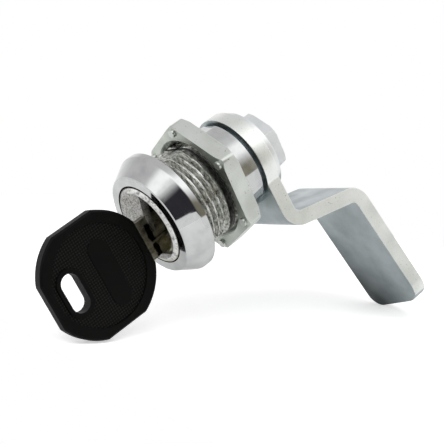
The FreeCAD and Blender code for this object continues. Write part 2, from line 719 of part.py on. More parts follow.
def make_wafer_spring(index):
    """Small coil spring on the wafer's lug, shown by the room that its turns take."""
    name = "wafer_spring_%d" % (index + 1)
    spring = doc.addObject("Part::Cylinder", name)
    spring.Label = name
    spring.setExpression("Radius", "Sizes.spring_radius")
    spring.setExpression("Height", "Sizes.spring_length")
    spring.setExpression("Placement.Base.x", "%s + Sizes.wafer_lug_length / 2" % SLOT_HALF)
    spring.setExpression("Placement.Base.y", wafer_place(index))
    spring.setExpression("Placement.Base.z", "Sizes.wafer_lug_top + Sizes.slot_clearance")
    doc.recompute()
    return spring


def make_key_blade():
    """Flat steel blade, wider than thick, with two milled grooves that run out near the bow."""
    body = new_body("key_blade")
    side = new_sketch(body, "blade_side_lines", "YZ_Plane")
    shoulder = "Sizes.blade_tip - Sizes.blade_tip_slope"
    outline(side, [
        ("-Sizes.blade_root", BLADE_BOTTOM),
        (shoulder, BLADE_BOTTOM),
        ("Sizes.blade_tip", "%s + Sizes.blade_tip_slope" % BLADE_BOTTOM),
        ("Sizes.blade_tip", "%s - Sizes.blade_tip_slope" % BLADE_TOP),
        (shoulder, BLADE_TOP),
        ("-Sizes.blade_root", BLADE_TOP),
    ])
    pad(body, side, "blade_blank", "Sizes.blade_thickness", both_ways=True)
    # Each groove's end rises to the surface on a ramp, as the cutter leaves it.
    upper = "(%s - Sizes.blade_groove_edge)" % BLADE_TOP
    lower = "(%s - Sizes.blade_groove_width - Sizes.blade_rib_width)" % upper
    floor = "(%s - Sizes.blade_groove_depth)" % BLADE_HALF
    for name, top in (("upper_groove", upper), ("lower_groove", lower)):
        cut = new_sketch(body, name + "_lines", "XY_Plane", top)
        outline(cut, [
            (BLADE_HALF, "-Sizes.blade_groove_start"),
            (BLADE_HALF, "Sizes.blade_tip"),
            (floor, "Sizes.blade_tip"),
            (floor, "-Sizes.blade_groove_start + Sizes.blade_groove_runout"),
        ])
        pocket(body, cut, name, "Sizes.blade_groove_width")
    return body


def make_key_bow():
    """Moulded bow: a disc with four flats, a sunk panel on each face and a slot for the key ring."""
    body = new_body("key_bow")
    middle = "(-Sizes.bow_centre)"
    height = BLADE_MIDDLE
    half = "(Sizes.bow_thickness / 2)"
    plan = new_sketch(body, "bow_circle_lines", "YZ_Plane")
    circle(plan, "Sizes.bow_radius", middle, height)
    pad(body, plan, "bow_disc", "Sizes.bow_thickness", both_ways=True)
    flats = new_sketch(body, "bow_flat_lines", "YZ_Plane")
    flat = "(Sizes.bow_flats / 2)"
    far = "(Sizes.bow_radius + 1)"
    low = ("%s - %s" % (middle, far), "%s - %s" % (middle, flat))
    high = ("%s + %s" % (middle, flat), "%s + %s" % (middle, far))
    under = ("%s - %s" % (height, far), "%s - %s" % (height, flat))
    over = ("%s + %s" % (height, flat), "%s + %s" % (height, far))
    outline(flats, [
        (low[0], under[0]), (high[1], under[0]), (high[1], over[1]), (low[0], over[1]),
    ])
    outline(flats, [
        (low[1], under[1]), (high[0], under[1]), (high[0], over[0]), (low[1], over[0]),
    ])
    pocket(body, flats, "bow_flats_cut", "Sizes.bow_thickness + 2", both_ways=True)
    # The panel inside the rim is sunk on both faces, apart from the raised rim of the ring slot.
    slot_middle = "(-Sizes.ring_slot_place)"
    slot_half = "(Sizes.ring_slot_width / 2)"
    slot_reach = "(Sizes.ring_slot_length / 2)"
    for name, face, turned in (("near_panel", half, False), ("far_panel", "-" + half, True)):
        panel = new_sketch(body, name + "_lines", "YZ_Plane", face)
        circle(panel, "Sizes.bow_flats / 2 - Sizes.bow_rim_width", middle, height)
        stadium(
            panel,
            "(%s + Sizes.ring_slot_rim)" % slot_half,
            "(%s + Sizes.ring_slot_rim)" % slot_reach,
            slot_middle,
            height,
        )
        pocket(body, panel, name, "Sizes.bow_panel_depth", backwards=turned)
    slot = new_sketch(body, "ring_slot_lines", "YZ_Plane")
    stadium(slot, slot_half, slot_reach, slot_middle, height)
    pocket(body, slot, "ring_slot", "Sizes.bow_thickness + 2", both_ways=True)
    # The blade is moulded in, so its root fills this pocket face to face.
    root = new_sketch(body, "blade_seat_lines", "YZ_Plane")
    rectangle(root, "-Sizes.blade_root", "0", BLADE_BOTTOM, BLADE_TOP)
    pocket(body, root, "blade_seat", "Sizes.blade_thickness", both_ways=True)
    centre = FreeCAD.Vector(0, number(middle), number(height))

    def outer_edge(edge):
        on_face = near(abs(edge.CenterOfMass.x), half)
        ends = [FreeCAD.Vector(0, vertex.Point.y, vertex.Point.z) for vertex in edge.Vertexes]
        return on_face and all(near(end.distanceToPoint(centre), "Sizes.bow_radius") for end in ends)

    dress_edges(body, "Chamfer", "bow_edges", "Sizes.bow_edge_chamfer", outer_edge)
    return body


count = int(number("Sizes.wafer_count"))
pieces = [
    make_housing(),
    make_hex_nut(),
    make_plug(),
    make_plug_seal(),
    make_stop_disc(),
    make_cam(),
    make_cam_washer(),
    make_cam_screw(),
    make_key_blade(),
    make_key_bow(),
]
pieces += [make_wafer(index) for index in range(count)]
pieces += [make_wafer_spring(index) for index in range(count)]
doc.recompute()

for item in doc.Objects:
    if "Invalid" in item.State or "Error" in item.State:
        raise ValueError("%s is not sound: %s" % (item.Name, item.State))
for piece in pieces:
    if piece.Shape.isNull() or not piece.Shape.isValid():
        raise ValueError(piece.Label + " has no valid shape")

os.makedirs("parts", exist_ok=True)
for piece in pieces:
    piece.Shape.exportStep("parts/%s.step" % piece.Label)
    print("%-16s %d solid, %9.2f mm3" % (piece.Label, len(piece.Shape.Solids), piece.Shape.Volume))
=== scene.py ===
# %% [markdown]
# # A cabinet cam lock with its key
# The solids of the lock come in as a fixed frame. This lesson gives each piece its real surface,
# adds the small forms that the solids leave out, and lights and photographs the lock on white.

import math

import bpy
from mathutils import Matrix, Vector


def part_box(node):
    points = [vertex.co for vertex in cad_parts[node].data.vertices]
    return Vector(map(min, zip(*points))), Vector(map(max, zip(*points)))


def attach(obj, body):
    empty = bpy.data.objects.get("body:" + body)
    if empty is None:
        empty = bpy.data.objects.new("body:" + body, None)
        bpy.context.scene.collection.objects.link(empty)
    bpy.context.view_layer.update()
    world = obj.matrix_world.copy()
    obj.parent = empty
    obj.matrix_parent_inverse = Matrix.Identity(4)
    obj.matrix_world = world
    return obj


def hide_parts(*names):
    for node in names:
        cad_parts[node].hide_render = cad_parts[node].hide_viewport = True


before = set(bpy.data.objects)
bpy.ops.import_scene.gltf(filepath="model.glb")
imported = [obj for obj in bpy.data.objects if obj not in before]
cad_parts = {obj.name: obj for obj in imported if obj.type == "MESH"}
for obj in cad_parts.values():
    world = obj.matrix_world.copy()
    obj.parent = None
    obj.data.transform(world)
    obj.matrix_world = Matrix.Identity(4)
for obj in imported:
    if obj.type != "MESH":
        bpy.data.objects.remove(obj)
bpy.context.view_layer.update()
MM = 0.001
scene = bpy.context.scene
print("nodes:", len(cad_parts))

# %% [markdown]
# The camera stands a little above the side of the lock, about 275 mm from its axis, and looks past
# the key towards the cam. Its place and its lens come from fitting the circles and straight edges
# of the lock, so the perspective is the real one.

# %% Camera
PHOTO_WIDTH = 444
FOCAL_PIXELS = 1300
camera_data = bpy.data.cameras.new("camera")
camera_data.sensor_width = 36
camera_data.lens = camera_data.sensor_width * FOCAL_PIXELS / PHOTO_WIDTH
camera = bpy.data.objects.new("camera", camera_data)
scene.collection.objects.link(camera)
SIGHT_RIGHT = Vector((0.54442, 0.71209, -0.44332))
SIGHT_DOWN = Vector((0.01241, -0.53529, -0.84458))
SIGHT_FORWARD = Vector((-0.83872, 0.45431, -0.30026))
CAMERA_PLACE = Vector((236.74, -118.39, 75.48)) * MM
turn = Matrix((SIGHT_RIGHT, -SIGHT_DOWN, -SIGHT_FORWARD)).transposed()
camera.matrix_world = Matrix.Translation(CAMERA_PLACE) @ turn.to_4x4()
scene.camera = camera
print("lens: %.1f mm" % camera_data.lens)

# %% [markdown]
# A material is a small tree of nodes. One function makes a material with its shader, one turns a
# hex colour into the linear numbers that Blender mixes, and one adds a node with its settings and
# links. In a Map Range node i0 is the value that comes in, i1 and i2 are the range that it comes
# in, and i3 and i4 are the range that it leaves in. A noise stays mostly between 0.35 and 0.65.

# %% Adding nodes
NOISE_LOW = 0.35
NOISE_HIGH = 0.65


def linear(code):
    """The linear colour of an sRGB hex code."""
    parts = [int(code[place:place + 2], 16) / 255 for place in (1, 3, 5)]
    curved = [
        part / 12.92 if part <= 0.04045 else ((part + 0.055) / 1.055) ** 2.4 for part in parts
    ]
    return (*curved, 1.0)


def new_material(name, colour, metallic=0.0, roughness=0.5):
    """A material and its shader, with the values that are the same all over."""
    material = bpy.data.materials.new(name)
    material.use_nodes = True
    shader = material.node_tree.nodes["Principled BSDF"]
    shader.inputs["Base Color"].default_value = linear(colour)
    shader.inputs["Metallic"].default_value = metallic
    shader.inputs["Roughness"].default_value = roughness
    print("material:", name)
    return material, shader


def add_node(shader, kind, settings=None, stops=(), to=None, **inputs):
    """Adds a node to the shader's tree and links it.

    An input is a value, a node or a node's output, and i with a number names an input by its
    order. Stops are a colour ramp's places from 0 to 1 with hex codes. The node's first output
    also goes to the shader's input that "to" names.
    """
    tree = shader.id_data
    node = tree.nodes.new(kind)
    for name, value in (settings or {}).items():
        setattr(node, name, value)
    if stops:
        ramp = node.color_ramp.elements
        ramp[0].position, ramp[0].color = stops[0][0], linear(stops[0][1])
        ramp[1].position, ramp[1].color = stops[-1][0], linear(stops[-1][1])
        for place, code in stops[1:-1]:
            ramp.new(place).color = linear(code)
    for name, value in inputs.items():
        socket = node.inputs[int(name[1:]) if name[1:].isdigit() else name]
        if isinstance(value, bpy.types.Node):
            value = value.outputs[0]
        if isinstance(value, bpy.types.NodeSocket):
            tree.links.new(value, socket)
        else:
            socket.default_value = value
    if to:
        tree.links.new(node.outputs[0], shader.inputs[to])
    return node

# %% [markdown]
# ## Metals
# The head and barrel are die-cast zinc under bright chrome. Chromium gives back a little over half
# of the light and is almost a mirror, so the studio round the lock gives it its bands. What shows
# that the metal is cast and not turned is a few duller clouds, some 3 mm across, and a very faint
# waviness.

# %% Bright chrome on cast zinc
chrome, shader = new_material("bright_chrome_on_cast_zinc", "#c4c5c5", metallic=1, roughness=0.07)
place = add_node(shader, "ShaderNodeTexCoord").outputs["Object"]
clouds = add_node(shader, "ShaderNodeTexNoise", Vector=place, Scale=1 / (3.0 * MM), Detail=4)
add_node(
    shader, "ShaderNodeValToRGB", to="Base Color", Fac=clouds,
    stops=[(0.3, "#b9babb"), (0.55, "#c6c7c7"), (0.75, "#cacbcb")],
)
add_node(
    shader, "ShaderNodeMapRange", to="Roughness",
    i0=clouds, i1=NOISE_LOW, i2=NOISE_HIGH, i3=0.05, i4=0.09,
)
add_node(shader, "ShaderNodeBump", to="Normal", Height=clouds, Distance=0.002 * MM)

# %% [markdown]
# The thread was cut before plating and has been handled since. It is rougher than the head, with
# greenish grey dirt in it, and the tool has left fine tracks along the turns. The specks are drawn
# 1 mm long and 0.3 mm across, coarser than real ones, so that they show. A band up to 1.4 mm wide
# in the last groove before the nut is painted near black: painted shade where the thread meets
# the nut.

# %% Cut thread
NUT_SHADE_PLACE = 8.1
thread_metal, shader = new_material("chromed_cut_thread", "#a6a7a4", metallic=1, roughness=0.3)
place = add_node(shader, "ShaderNodeTexCoord").outputs["Object"]
along_turns = add_node(shader, "ShaderNodeMapping", Vector=place, Scale=(1, 3.6, 1))
specks = add_node(
    shader, "ShaderNodeTexNoise", Vector=along_turns, Scale=1 / (1.0 * MM), Detail=5, Roughness=0.72
)
tracked = add_node(
    shader, "ShaderNodeValToRGB", Fac=specks,
    stops=[(0.36, "#2f302c"), (0.42, "#8c8e88"), (0.52, "#c3c4be"), (0.62, "#eeeeea")],
)
axes = add_node(shader, "ShaderNodeSeparateXYZ", Vector=place)
from_nut_shade = add_node(
    shader, "ShaderNodeMath", {"operation": "SUBTRACT"}, i0=axes.outputs["Y"], i1=NUT_SHADE_PLACE * MM
)
from_nut_shade = add_node(shader, "ShaderNodeMath", {"operation": "ABSOLUTE"}, i0=from_nut_shade)
nut_shade = add_node(
    shader, "ShaderNodeMapRange", i0=from_nut_shade, i1=0.2 * MM, i2=0.7 * MM, i3=0.9, i4=0.0
)
add_node(
    shader, "ShaderNodeMixRGB", to="Base Color", i0=nut_shade, i1=tracked, i2=linear("#141512")
)
add_node(
    shader, "ShaderNodeMapRange", to="Roughness",
    i0=specks, i1=NOISE_LOW, i2=NOISE_HIGH, i3=0.6, i4=0.42,
)
add_node(shader, "ShaderNodeBump", to="Normal", Height=specks, Distance=0.05 * MM)

# %% [markdown]
# Cam, nut, washer, screw and stop disc are steel with bright zinc plating. That gives a cool grey,
# satin rather than glossy, with a soft green cast in patches some 7 mm across and the fine grain
# of rolled sheet. The grain is drawn 0.35 mm wide, coarser than it is, so that it shows.

# %% Zinc plating on steel
def zinc_plated_steel(name, dark, light, depth):
    """Zinc plating on steel between two greys, with a grain of this depth in millimetres."""
    material, shader = new_material(name, light, metallic=1, roughness=0.33)
    place = add_node(shader, "ShaderNodeTexCoord").outputs["Object"]
    patches = add_node(shader, "ShaderNodeTexNoise", Vector=place, Scale=1 / (7.0 * MM), Detail=2)
    sheet = add_node(
        shader, "ShaderNodeTexNoise", Vector=place, Scale=1 / (0.35 * MM), Detail=4, Roughness=0.65
    )
    both = add_node(
        shader, "ShaderNodeMath", {"operation": "MULTIPLY_ADD"}, i0=sheet, i1=0.35, i2=patches
    )
    greys = add_node(
        shader, "ShaderNodeValToRGB", to="Base Color", Fac=both, stops=[(0.45, dark), (0.85, light)]
    )
    add_node(
        shader, "ShaderNodeMapRange", to="Roughness",
        i0=patches, i1=NOISE_LOW, i2=NOISE_HIGH, i3=0.4, i4=0.28,
    )
    add_node(shader, "ShaderNodeBump", to="Normal", Height=sheet, Distance=depth * MM)
    return material, shader, greys


nut_metal, _, _ = zinc_plated_steel("zinc_plated_nut_face", "#a7aea6", "#c6ccc4", depth=0.012)
screw_metal, _, _ = zinc_plated_steel("zinc_plated_screw", "#d6dadb", "#eceeee", depth=0.004)

# %% [markdown]
# An edge that was sheared is rougher than the sheet's face, with little torn pits about half a
# millimetre across. The nut's sides and the cam's edges are such edges. They are painted lighter
# than the faces, the cam's a little the brighter, as painted light.

# %% Sheared edges
def sheared_steel(name, dark, light):
    """Plated steel between two greys, with the dark pits that shearing leaves."""
    material, shader, greys = zinc_plated_steel(name, dark, light, depth=0.02)
    place = add_node(shader, "ShaderNodeTexCoord").outputs["Object"]
    tears = add_node(
        shader, "ShaderNodeTexNoise", Vector=place, Scale=1 / (0.5 * MM), Detail=5, Roughness=0.7
    )
    tears = add_node(
        shader, "ShaderNodeValToRGB", Fac=tears,
        stops=[(0.26, "#57564c"), (0.33, "#c9c9c0"), (0.38, "#ffffff")],
    )
    add_node(
        shader, "ShaderNodeMixRGB", {"blend_type": "MULTIPLY"}, to="Base Color",
        i0=1.0, i1=greys, i2=tears,
    )
    return material


# The nut's sides and the cam's edges get lighter greys than the faces: painted light.
nut_side_lit_metal = sheared_steel("zinc_plated_nut_side_painted_light", "#c6cac4", "#dadeda")
cam_edge_lit_metal = sheared_steel("zinc_plated_cam_edge_painted_light", "#d8dbd6", "#eef0ed")

# %% [markdown]
# The cam's strip is painted darker towards one corner of its tip: painted shade, where the strip
# mirrors the shadow on the card near its tip. The way to that corner slants, and its length isn't
# 1, so 37 and 60 along it are about 21 and 33 mm from the lock's axis. The darkening starts at the
# first and is full at the second.

# %% Cam strip
TIP_SHADE_WAY = Vector((-1.5, 0, -1))
TIP_SHADE_START = 37
TIP_SHADE_END = 60
cam_metal, shader, greys = zinc_plated_steel(
    "zinc_plated_cam_strip", "#98a2a4", "#b6bec1", depth=0.006
)
place = add_node(shader, "ShaderNodeTexCoord").outputs["Object"]
down_cam = add_node(
    shader, "ShaderNodeVectorMath", {"operation": "DOT_PRODUCT"}, i0=place, i1=TIP_SHADE_WAY
)
tip_shade = add_node(
    shader, "ShaderNodeMapRange",
    i0=down_cam.outputs["Value"], i1=TIP_SHADE_START * MM, i2=TIP_SHADE_END * MM, i3=0.0, i4=1.0,
)
tip_shade = add_node(
    shader, "ShaderNodeValToRGB", Fac=tip_shade,
    stops=[(0.0, "#ffffff"), (0.35, "#d8dbdb"), (1.0, "#6f7373")],
)
add_node(
    shader, "ShaderNodeMixRGB", {"blend_type": "MULTIPLY"}, to="Base Color",
    i0=1.0, i1=greys, i2=tip_shade,
)

# %% [markdown]
# The plug is die-cast zinc under a thin satin plating. Its face is matt and speckled like fine
# sandpaper. The specks are drawn 0.35 mm wide so that they show. The recess and the keyway are
# painted darker, more with each tenth of a millimetre down from the face, and so is the step
# outside the rim, which starts 0.45 mm from the rim's middle line. That darkening is painted shade.
# The recess's lower end is painted paler, as painted light.

# %% Satin plating on cast zinc
RIM_MIDDLE = 8.5
RECESS_SHADE_START = -6.48
RECESS_SHADE_FULL = -5.85
PAINTED_LIGHT_Z = -6.5
PAINTED_SHADE_Z = 2.5
plug_metal, shader = new_material("satin_plated_cast_zinc", "#b9b8b4", metallic=1, roughness=0.42)
place = add_node(shader, "ShaderNodeTexCoord").outputs["Object"]
specks = add_node(
    shader, "ShaderNodeTexNoise", Vector=place, Scale=1 / (0.35 * MM), Detail=4, Roughness=0.75
)
speckled = add_node(
    shader, "ShaderNodeValToRGB", Fac=specks,
    stops=[(0.36, "#5c5c57"), (0.5, "#9d9c99"), (0.66, "#c6c5c2")],
)
axes = add_node(shader, "ShaderNodeSeparateXYZ", Vector=place)
# Painted shade: darker with depth below the face.
recess_shade_depth = add_node(
    shader, "ShaderNodeMapRange",
    i0=axes.outputs["Y"], i1=RECESS_SHADE_START * MM, i2=RECESS_SHADE_FULL * MM, i3=0.0, i4=1.0,
)
from_axis = add_node(
    shader, "ShaderNodeVectorMath", {"operation": "MULTIPLY"}, i0=place, i1=(1, 0, 1)
)
from_axis = add_node(shader, "ShaderNodeVectorMath", {"operation": "LENGTH"}, i0=from_axis)
from_rim = add_node(
    shader, "ShaderNodeMath", {"operation": "SUBTRACT"},
    i0=from_axis.outputs["Value"], i1=RIM_MIDDLE * MM,
)
from_rim = add_node(shader, "ShaderNodeMath", {"operation": "ABSOLUTE"}, i0=from_rim)
off_rim = add_node(
    shader, "ShaderNodeMapRange", i0=from_rim, i1=0.42 * MM, i2=0.47 * MM, i3=0.0, i4=1.0
)
recess_shade = add_node(shader, "ShaderNodeMath", {"operation": "MULTIPLY"}, i0=recess_shade_depth, i1=off_rim)
# Painted light at the recess's lower end, painted shade towards its top.
lower_end_light = add_node(
    shader, "ShaderNodeMapRange",
    i0=axes.outputs["Z"], i1=PAINTED_LIGHT_Z * MM, i2=PAINTED_SHADE_Z * MM, i3=0.0, i4=1.0,
)
recess_shade_colour = add_node(
    shader, "ShaderNodeValToRGB", Fac=lower_end_light,
    stops=[(0.0, "#dddbc8"), (0.4, "#b5b3a2"), (0.85, "#5c5a50"), (1.0, "#33322c")],
)
add_node(shader, "ShaderNodeMixRGB", to="Base Color", i0=recess_shade, i1=speckled, i2=recess_shade_colour)
add_node(
    shader, "ShaderNodeMapRange", to="Roughness",
    i0=specks, i1=NOISE_LOW, i2=NOISE_HIGH, i3=0.5, i4=0.34,
)
add_node(shader, "ShaderNodeBump", to="Normal", Height=specks, Distance=0.03 * MM)

# %% [markdown]
# The plug's sloping rim is painted lighter than the face, with streaks, as painted highlight. Its
# left side is painted duller, as painted shade.

# %% Rim with painted highlight
SHADED_SIDE = -5
LIT_SIDE = 2
rim_highlight_metal, shader = new_material("cast_zinc_rim_painted_highlight", "#dededc", metallic=1, roughness=0.35)
place = add_node(shader, "ShaderNodeTexCoord").outputs["Object"]
streaks = add_node(
    shader, "ShaderNodeTexNoise", Vector=place, Scale=1 / (1.1 * MM), Detail=5, Roughness=0.7
)
streaked = add_node(
    shader, "ShaderNodeValToRGB", Fac=streaks,
    stops=[(0.36, "#8b8b87"), (0.48, "#e2e2e0"), (0.6, "#f4f4f2")],
)
axes = add_node(shader, "ShaderNodeSeparateXYZ", Vector=place)
lit_side = add_node(
    shader, "ShaderNodeMapRange",
    i0=axes.outputs["X"], i1=SHADED_SIDE * MM, i2=LIT_SIDE * MM, i3=0.0, i4=1.0,
)
lit_side = add_node(
    shader, "ShaderNodeValToRGB", Fac=lit_side, stops=[(0.0, "#b4b3b1"), (1.0, "#ffffff")]
)
add_node(
    shader, "ShaderNodeMixRGB", {"blend_type": "MULTIPLY"}, to="Base Color",
    i0=1.0, i1=streaked, i2=lit_side,
)
add_node(
    shader, "ShaderNodeMapRange", to="Roughness",
    i0=streaks, i1=NOISE_LOW, i2=NOISE_HIGH, i3=0.3, i4=0.5,
)
add_node(shader, "ShaderNodeBump", to="Normal", Height=streaks, Distance=0.08 * MM)

# %% [markdown]
# The key's blade is nickel-plated steel that has browned, with dark stains some 2 mm long. A
# wandering band 1.3 mm wide where the grooves start, which the rib between them crosses, is painted
# near black as painted shade. The cutter has left fine tracks along the blade, drawn 0.3 mm wide so
# that they show.

# %% Stained nickel
blade_metal, shader = new_material("worn_nickel_on_steel", "#8f897d", metallic=1, roughness=0.35)
place = add_node(shader, "ShaderNodeTexCoord").outputs["Object"]
along_blade = add_node(shader, "ShaderNodeMapping", Vector=place, Scale=(1, 0.6, 1))
stains = add_node(
    shader, "ShaderNodeTexNoise", Vector=along_blade, Scale=1 / (1.5 * MM), Detail=4, Roughness=0.6
)
stains = add_node(
    shader, "ShaderNodeValToRGB", Fac=stains,
    stops=[(0.34, "#46443a"), (0.46, "#757163"), (0.62, "#a09c8e")],
)

# %% Painted shade where the grooves start
GROOVE_SHADE_PLACE = -7.0
GROOVE_SHADE_WOBBLE = 1.2
RIB_PLACE = -3.4
axes = add_node(shader, "ShaderNodeSeparateXYZ", Vector=place)
wobble = add_node(shader, "ShaderNodeTexNoise", Vector=place, Scale=1 / (1.2 * MM), Detail=3)
from_middle = add_node(
    shader, "ShaderNodeMath", {"operation": "MULTIPLY_ADD"},
    i0=wobble, i1=GROOVE_SHADE_WOBBLE * MM, i2=axes.outputs["Y"],
)
from_middle = add_node(
    shader, "ShaderNodeMath", {"operation": "SUBTRACT"},
    i0=from_middle, i1=(GROOVE_SHADE_PLACE + GROOVE_SHADE_WOBBLE / 2) * MM,
)
from_middle = add_node(shader, "ShaderNodeMath", {"operation": "ABSOLUTE"}, i0=from_middle)
groove_shade = add_node(
    shader, "ShaderNodeMapRange", i0=from_middle, i1=0.55 * MM, i2=0.8 * MM, i3=1.0, i4=0.0
)
from_rib = add_node(
    shader, "ShaderNodeMath", {"operation": "SUBTRACT"}, i0=axes.outputs["Z"], i1=RIB_PLACE * MM
)
from_rib = add_node(shader, "ShaderNodeMath", {"operation": "ABSOLUTE"}, i0=from_rib)
off_rib = add_node(
    shader, "ShaderNodeMapRange", i0=from_rib, i1=0.15 * MM, i2=0.4 * MM, i3=0.0, i4=1.0
)
below_top = add_node(
    shader, "ShaderNodeMapRange", i0=axes.outputs["Z"], i1=0.7 * MM, i2=1.1 * MM, i3=1.0, i4=0.0
)
for mask in (off_rib, below_top):
    groove_shade = add_node(shader, "ShaderNodeMath", {"operation": "MULTIPLY"}, i0=groove_shade, i1=mask)
add_node(
    shader, "ShaderNodeMixRGB", to="Base Color", i0=groove_shade, i1=stains, i2=linear("#0c0b09")
)
print("grease round y = %.1f mm" % GROOVE_SHADE_PLACE)

# %% Cutter's tracks along the blade
tracks = add_node(shader, "ShaderNodeMapping", Vector=place, Scale=(1, 0.14, 1))
tracks = add_node(shader, "ShaderNodeTexNoise", Vector=tracks, Scale=1 / (0.3 * MM), Detail=3)
add_node(
    shader, "ShaderNodeMapRange", to="Roughness",
    i0=tracks, i1=NOISE_LOW, i2=NOISE_HIGH, i3=0.42, i4=0.28,
)
add_node(shader, "ShaderNodeBump", to="Normal", Height=tracks, Distance=0.008 * MM)
print("the blade's nodes:", len(blade_metal.node_tree.nodes))

# %% [markdown]
# The narrow gap around the plug is painted black, dull and crumbly, as painted shade, and draws a
# clear line there.

# %% Painted shade in the gap
gap_shade, shader = new_material("painted_gap_shade", "#0b0a09", roughness=0.8)
shader.inputs["Specular IOR Level"].default_value = 0.1
place = add_node(shader, "ShaderNodeTexCoord").outputs["Object"]
crumbs = add_node(shader, "ShaderNodeTexNoise", Vector=place, Scale=1 / (0.25 * MM), Detail=4)
add_node(
    shader, "ShaderNodeValToRGB", to="Base Color", Fac=crumbs,
    stops=[(0.4, "#060505"), (0.6, "#14120f")],
)
add_node(shader, "ShaderNodeBump", to="Normal", Height=crumbs, Distance=0.03 * MM)

# %% [markdown]
# Inside the lock are stamped brass wafers and springs of drawn steel wire. They show once the key
# is out and the plug is looked into. Brass goes brown in patches a couple of millimetres across,
# and rolling leaves a fine grain on it. Drawing leaves fine marks on the wire.

# %% Brass and spring wire
brass, shader = new_material("stamped_brass", "#b9954f", metallic=1, roughness=0.3)
place = add_node(shader, "ShaderNodeTexCoord").outputs["Object"]
tarnish = add_node(shader, "ShaderNodeTexNoise", Vector=place, Scale=1 / (2.2 * MM), Detail=4)
rolled = add_node(shader, "ShaderNodeTexNoise", Vector=place, Scale=1 / (0.3 * MM), Detail=3)
add_node(
    shader, "ShaderNodeValToRGB", to="Base Color", Fac=tarnish,
    stops=[(0.35, "#94733a"), (0.6, "#c29f5a")],
)
add_node(
    shader, "ShaderNodeMapRange", to="Roughness",
    i0=tarnish, i1=NOISE_LOW, i2=NOISE_HIGH, i3=0.4, i4=0.24,
)
add_node(shader, "ShaderNodeBump", to="Normal", Height=rolled, Distance=0.004 * MM)

spring_wire, shader = new_material("drawn_spring_wire", "#9a9b9d", metallic=1, roughness=0.24)
place = add_node(shader, "ShaderNodeTexCoord").outputs["Object"]
drawn = add_node(shader, "ShaderNodeTexNoise", Vector=place, Scale=1 / (0.15 * MM), Detail=2)
add_node(
    shader, "ShaderNodeValToRGB", to="Base Color", Fac=drawn,
    stops=[(0.3, "#77787a"), (0.7, "#a9aaac")],
)
add_node(shader, "ShaderNodeBump", to="Normal", Height=drawn, Distance=0.002 * MM)

# %% [markdown]
# ## Plastic and rubber
# The bow is black moulded plastic, such as ABS. Its rim is smooth apart from the fine tooth of the
# mould, drawn 0.18 mm wide, and the plastic's flow leaves patches 4 mm across that hardly show.

# %% Black moulded plastic
bow_plastic, shader = new_material("black_moulded_plastic", "#080808", roughness=0.5)
shader.inputs["Specular IOR Level"].default_value = 0.1
place = add_node(shader, "ShaderNodeTexCoord").outputs["Object"]
flow = add_node(shader, "ShaderNodeTexNoise", Vector=place, Scale=1 / (4.0 * MM), Detail=3)
tooth = add_node(shader, "ShaderNodeTexNoise", Vector=place, Scale=1 / (0.18 * MM), Detail=3)
add_node(
    shader, "ShaderNodeValToRGB", to="Base Color", Fac=flow,
    stops=[(0.35, "#040404"), (0.7, "#070706")],
)
add_node(
    shader, "ShaderNodeMapRange", to="Roughness",
    i0=tooth, i1=NOISE_LOW, i2=NOISE_HIGH, i3=0.54, i4=0.42,
)
add_node(shader, "ShaderNodeBump", to="Normal", Height=tooth, Distance=0.012 * MM)

# %% [markdown]
# The panel inside the bow's rim has a woven grain, made here of two sets of waves 0.85 mm apart
# that cross at right angles and lie at 45 degrees to the blade. The high spots are a little paler
# than the low ones.

# %% Black plastic with a woven grain
WEAVE_SIZE = 0.85
panel_plastic, shader = new_material("black_woven_grain_plastic", "#080808", roughness=0.55)
shader.inputs["Specular IOR Level"].default_value = 0.1
place = add_node(shader, "ShaderNodeTexCoord").outputs["Object"]
waves = []
for slope in (1, -1):
    across = Vector((0, 1, slope)).normalized() * 2 * math.pi / (WEAVE_SIZE * MM)
    phase = add_node(
        shader, "ShaderNodeVectorMath", {"operation": "DOT_PRODUCT"}, i0=place, i1=across
    )
    waves.append(
        add_node(shader, "ShaderNodeMath", {"operation": "SINE"}, i0=phase.outputs["Value"])
    )
weave = add_node(shader, "ShaderNodeMath", {"operation": "MULTIPLY"}, i0=waves[0], i1=waves[1])
tooth = add_node(shader, "ShaderNodeTexNoise", Vector=place, Scale=1 / (0.2 * MM), Detail=3)
relief = add_node(
    shader, "ShaderNodeMath", {"operation": "MULTIPLY_ADD"}, i0=tooth, i1=0.9, i2=weave
)
add_node(
    shader, "ShaderNodeValToRGB", to="Base Color", Fac=relief,
    stops=[(0.25, "#010101"), (0.6, "#040403"), (1.0, "#1f1e1b")],
)
add_node(
    shader, "ShaderNodeMapRange", to="Roughness",
    i0=tooth, i1=NOISE_LOW, i2=NOISE_HIGH, i3=0.62, i4=0.48,
)
add_node(shader, "ShaderNodeBump", to="Normal", Height=relief, Distance=0.06 * MM)

# %% [markdown]
# The seal is nitrile rubber. It is dull, with a paler bloom in spots under a millimetre across.

# %% Black rubber
rubber, shader = new_material("black_nitrile_rubber", "#101010", roughness=0.7)
place = add_node(shader, "ShaderNodeTexCoord").outputs["Object"]
bloom = add_node(shader, "ShaderNodeTexNoise", Vector=place, Scale=1 / (0.8 * MM), Detail=4)
add_node(
    shader, "ShaderNodeValToRGB", to="Base Color", Fac=bloom,
    stops=[(0.3, "#0b0b0b"), (0.7, "#1b1b1a")],
)
add_node(shader, "ShaderNodeBump", to="Normal", Height=bloom, Distance=0.006 * MM)

# %% [markdown]
# Each solid takes its finish here. The pieces that are shaped further start from these solids.

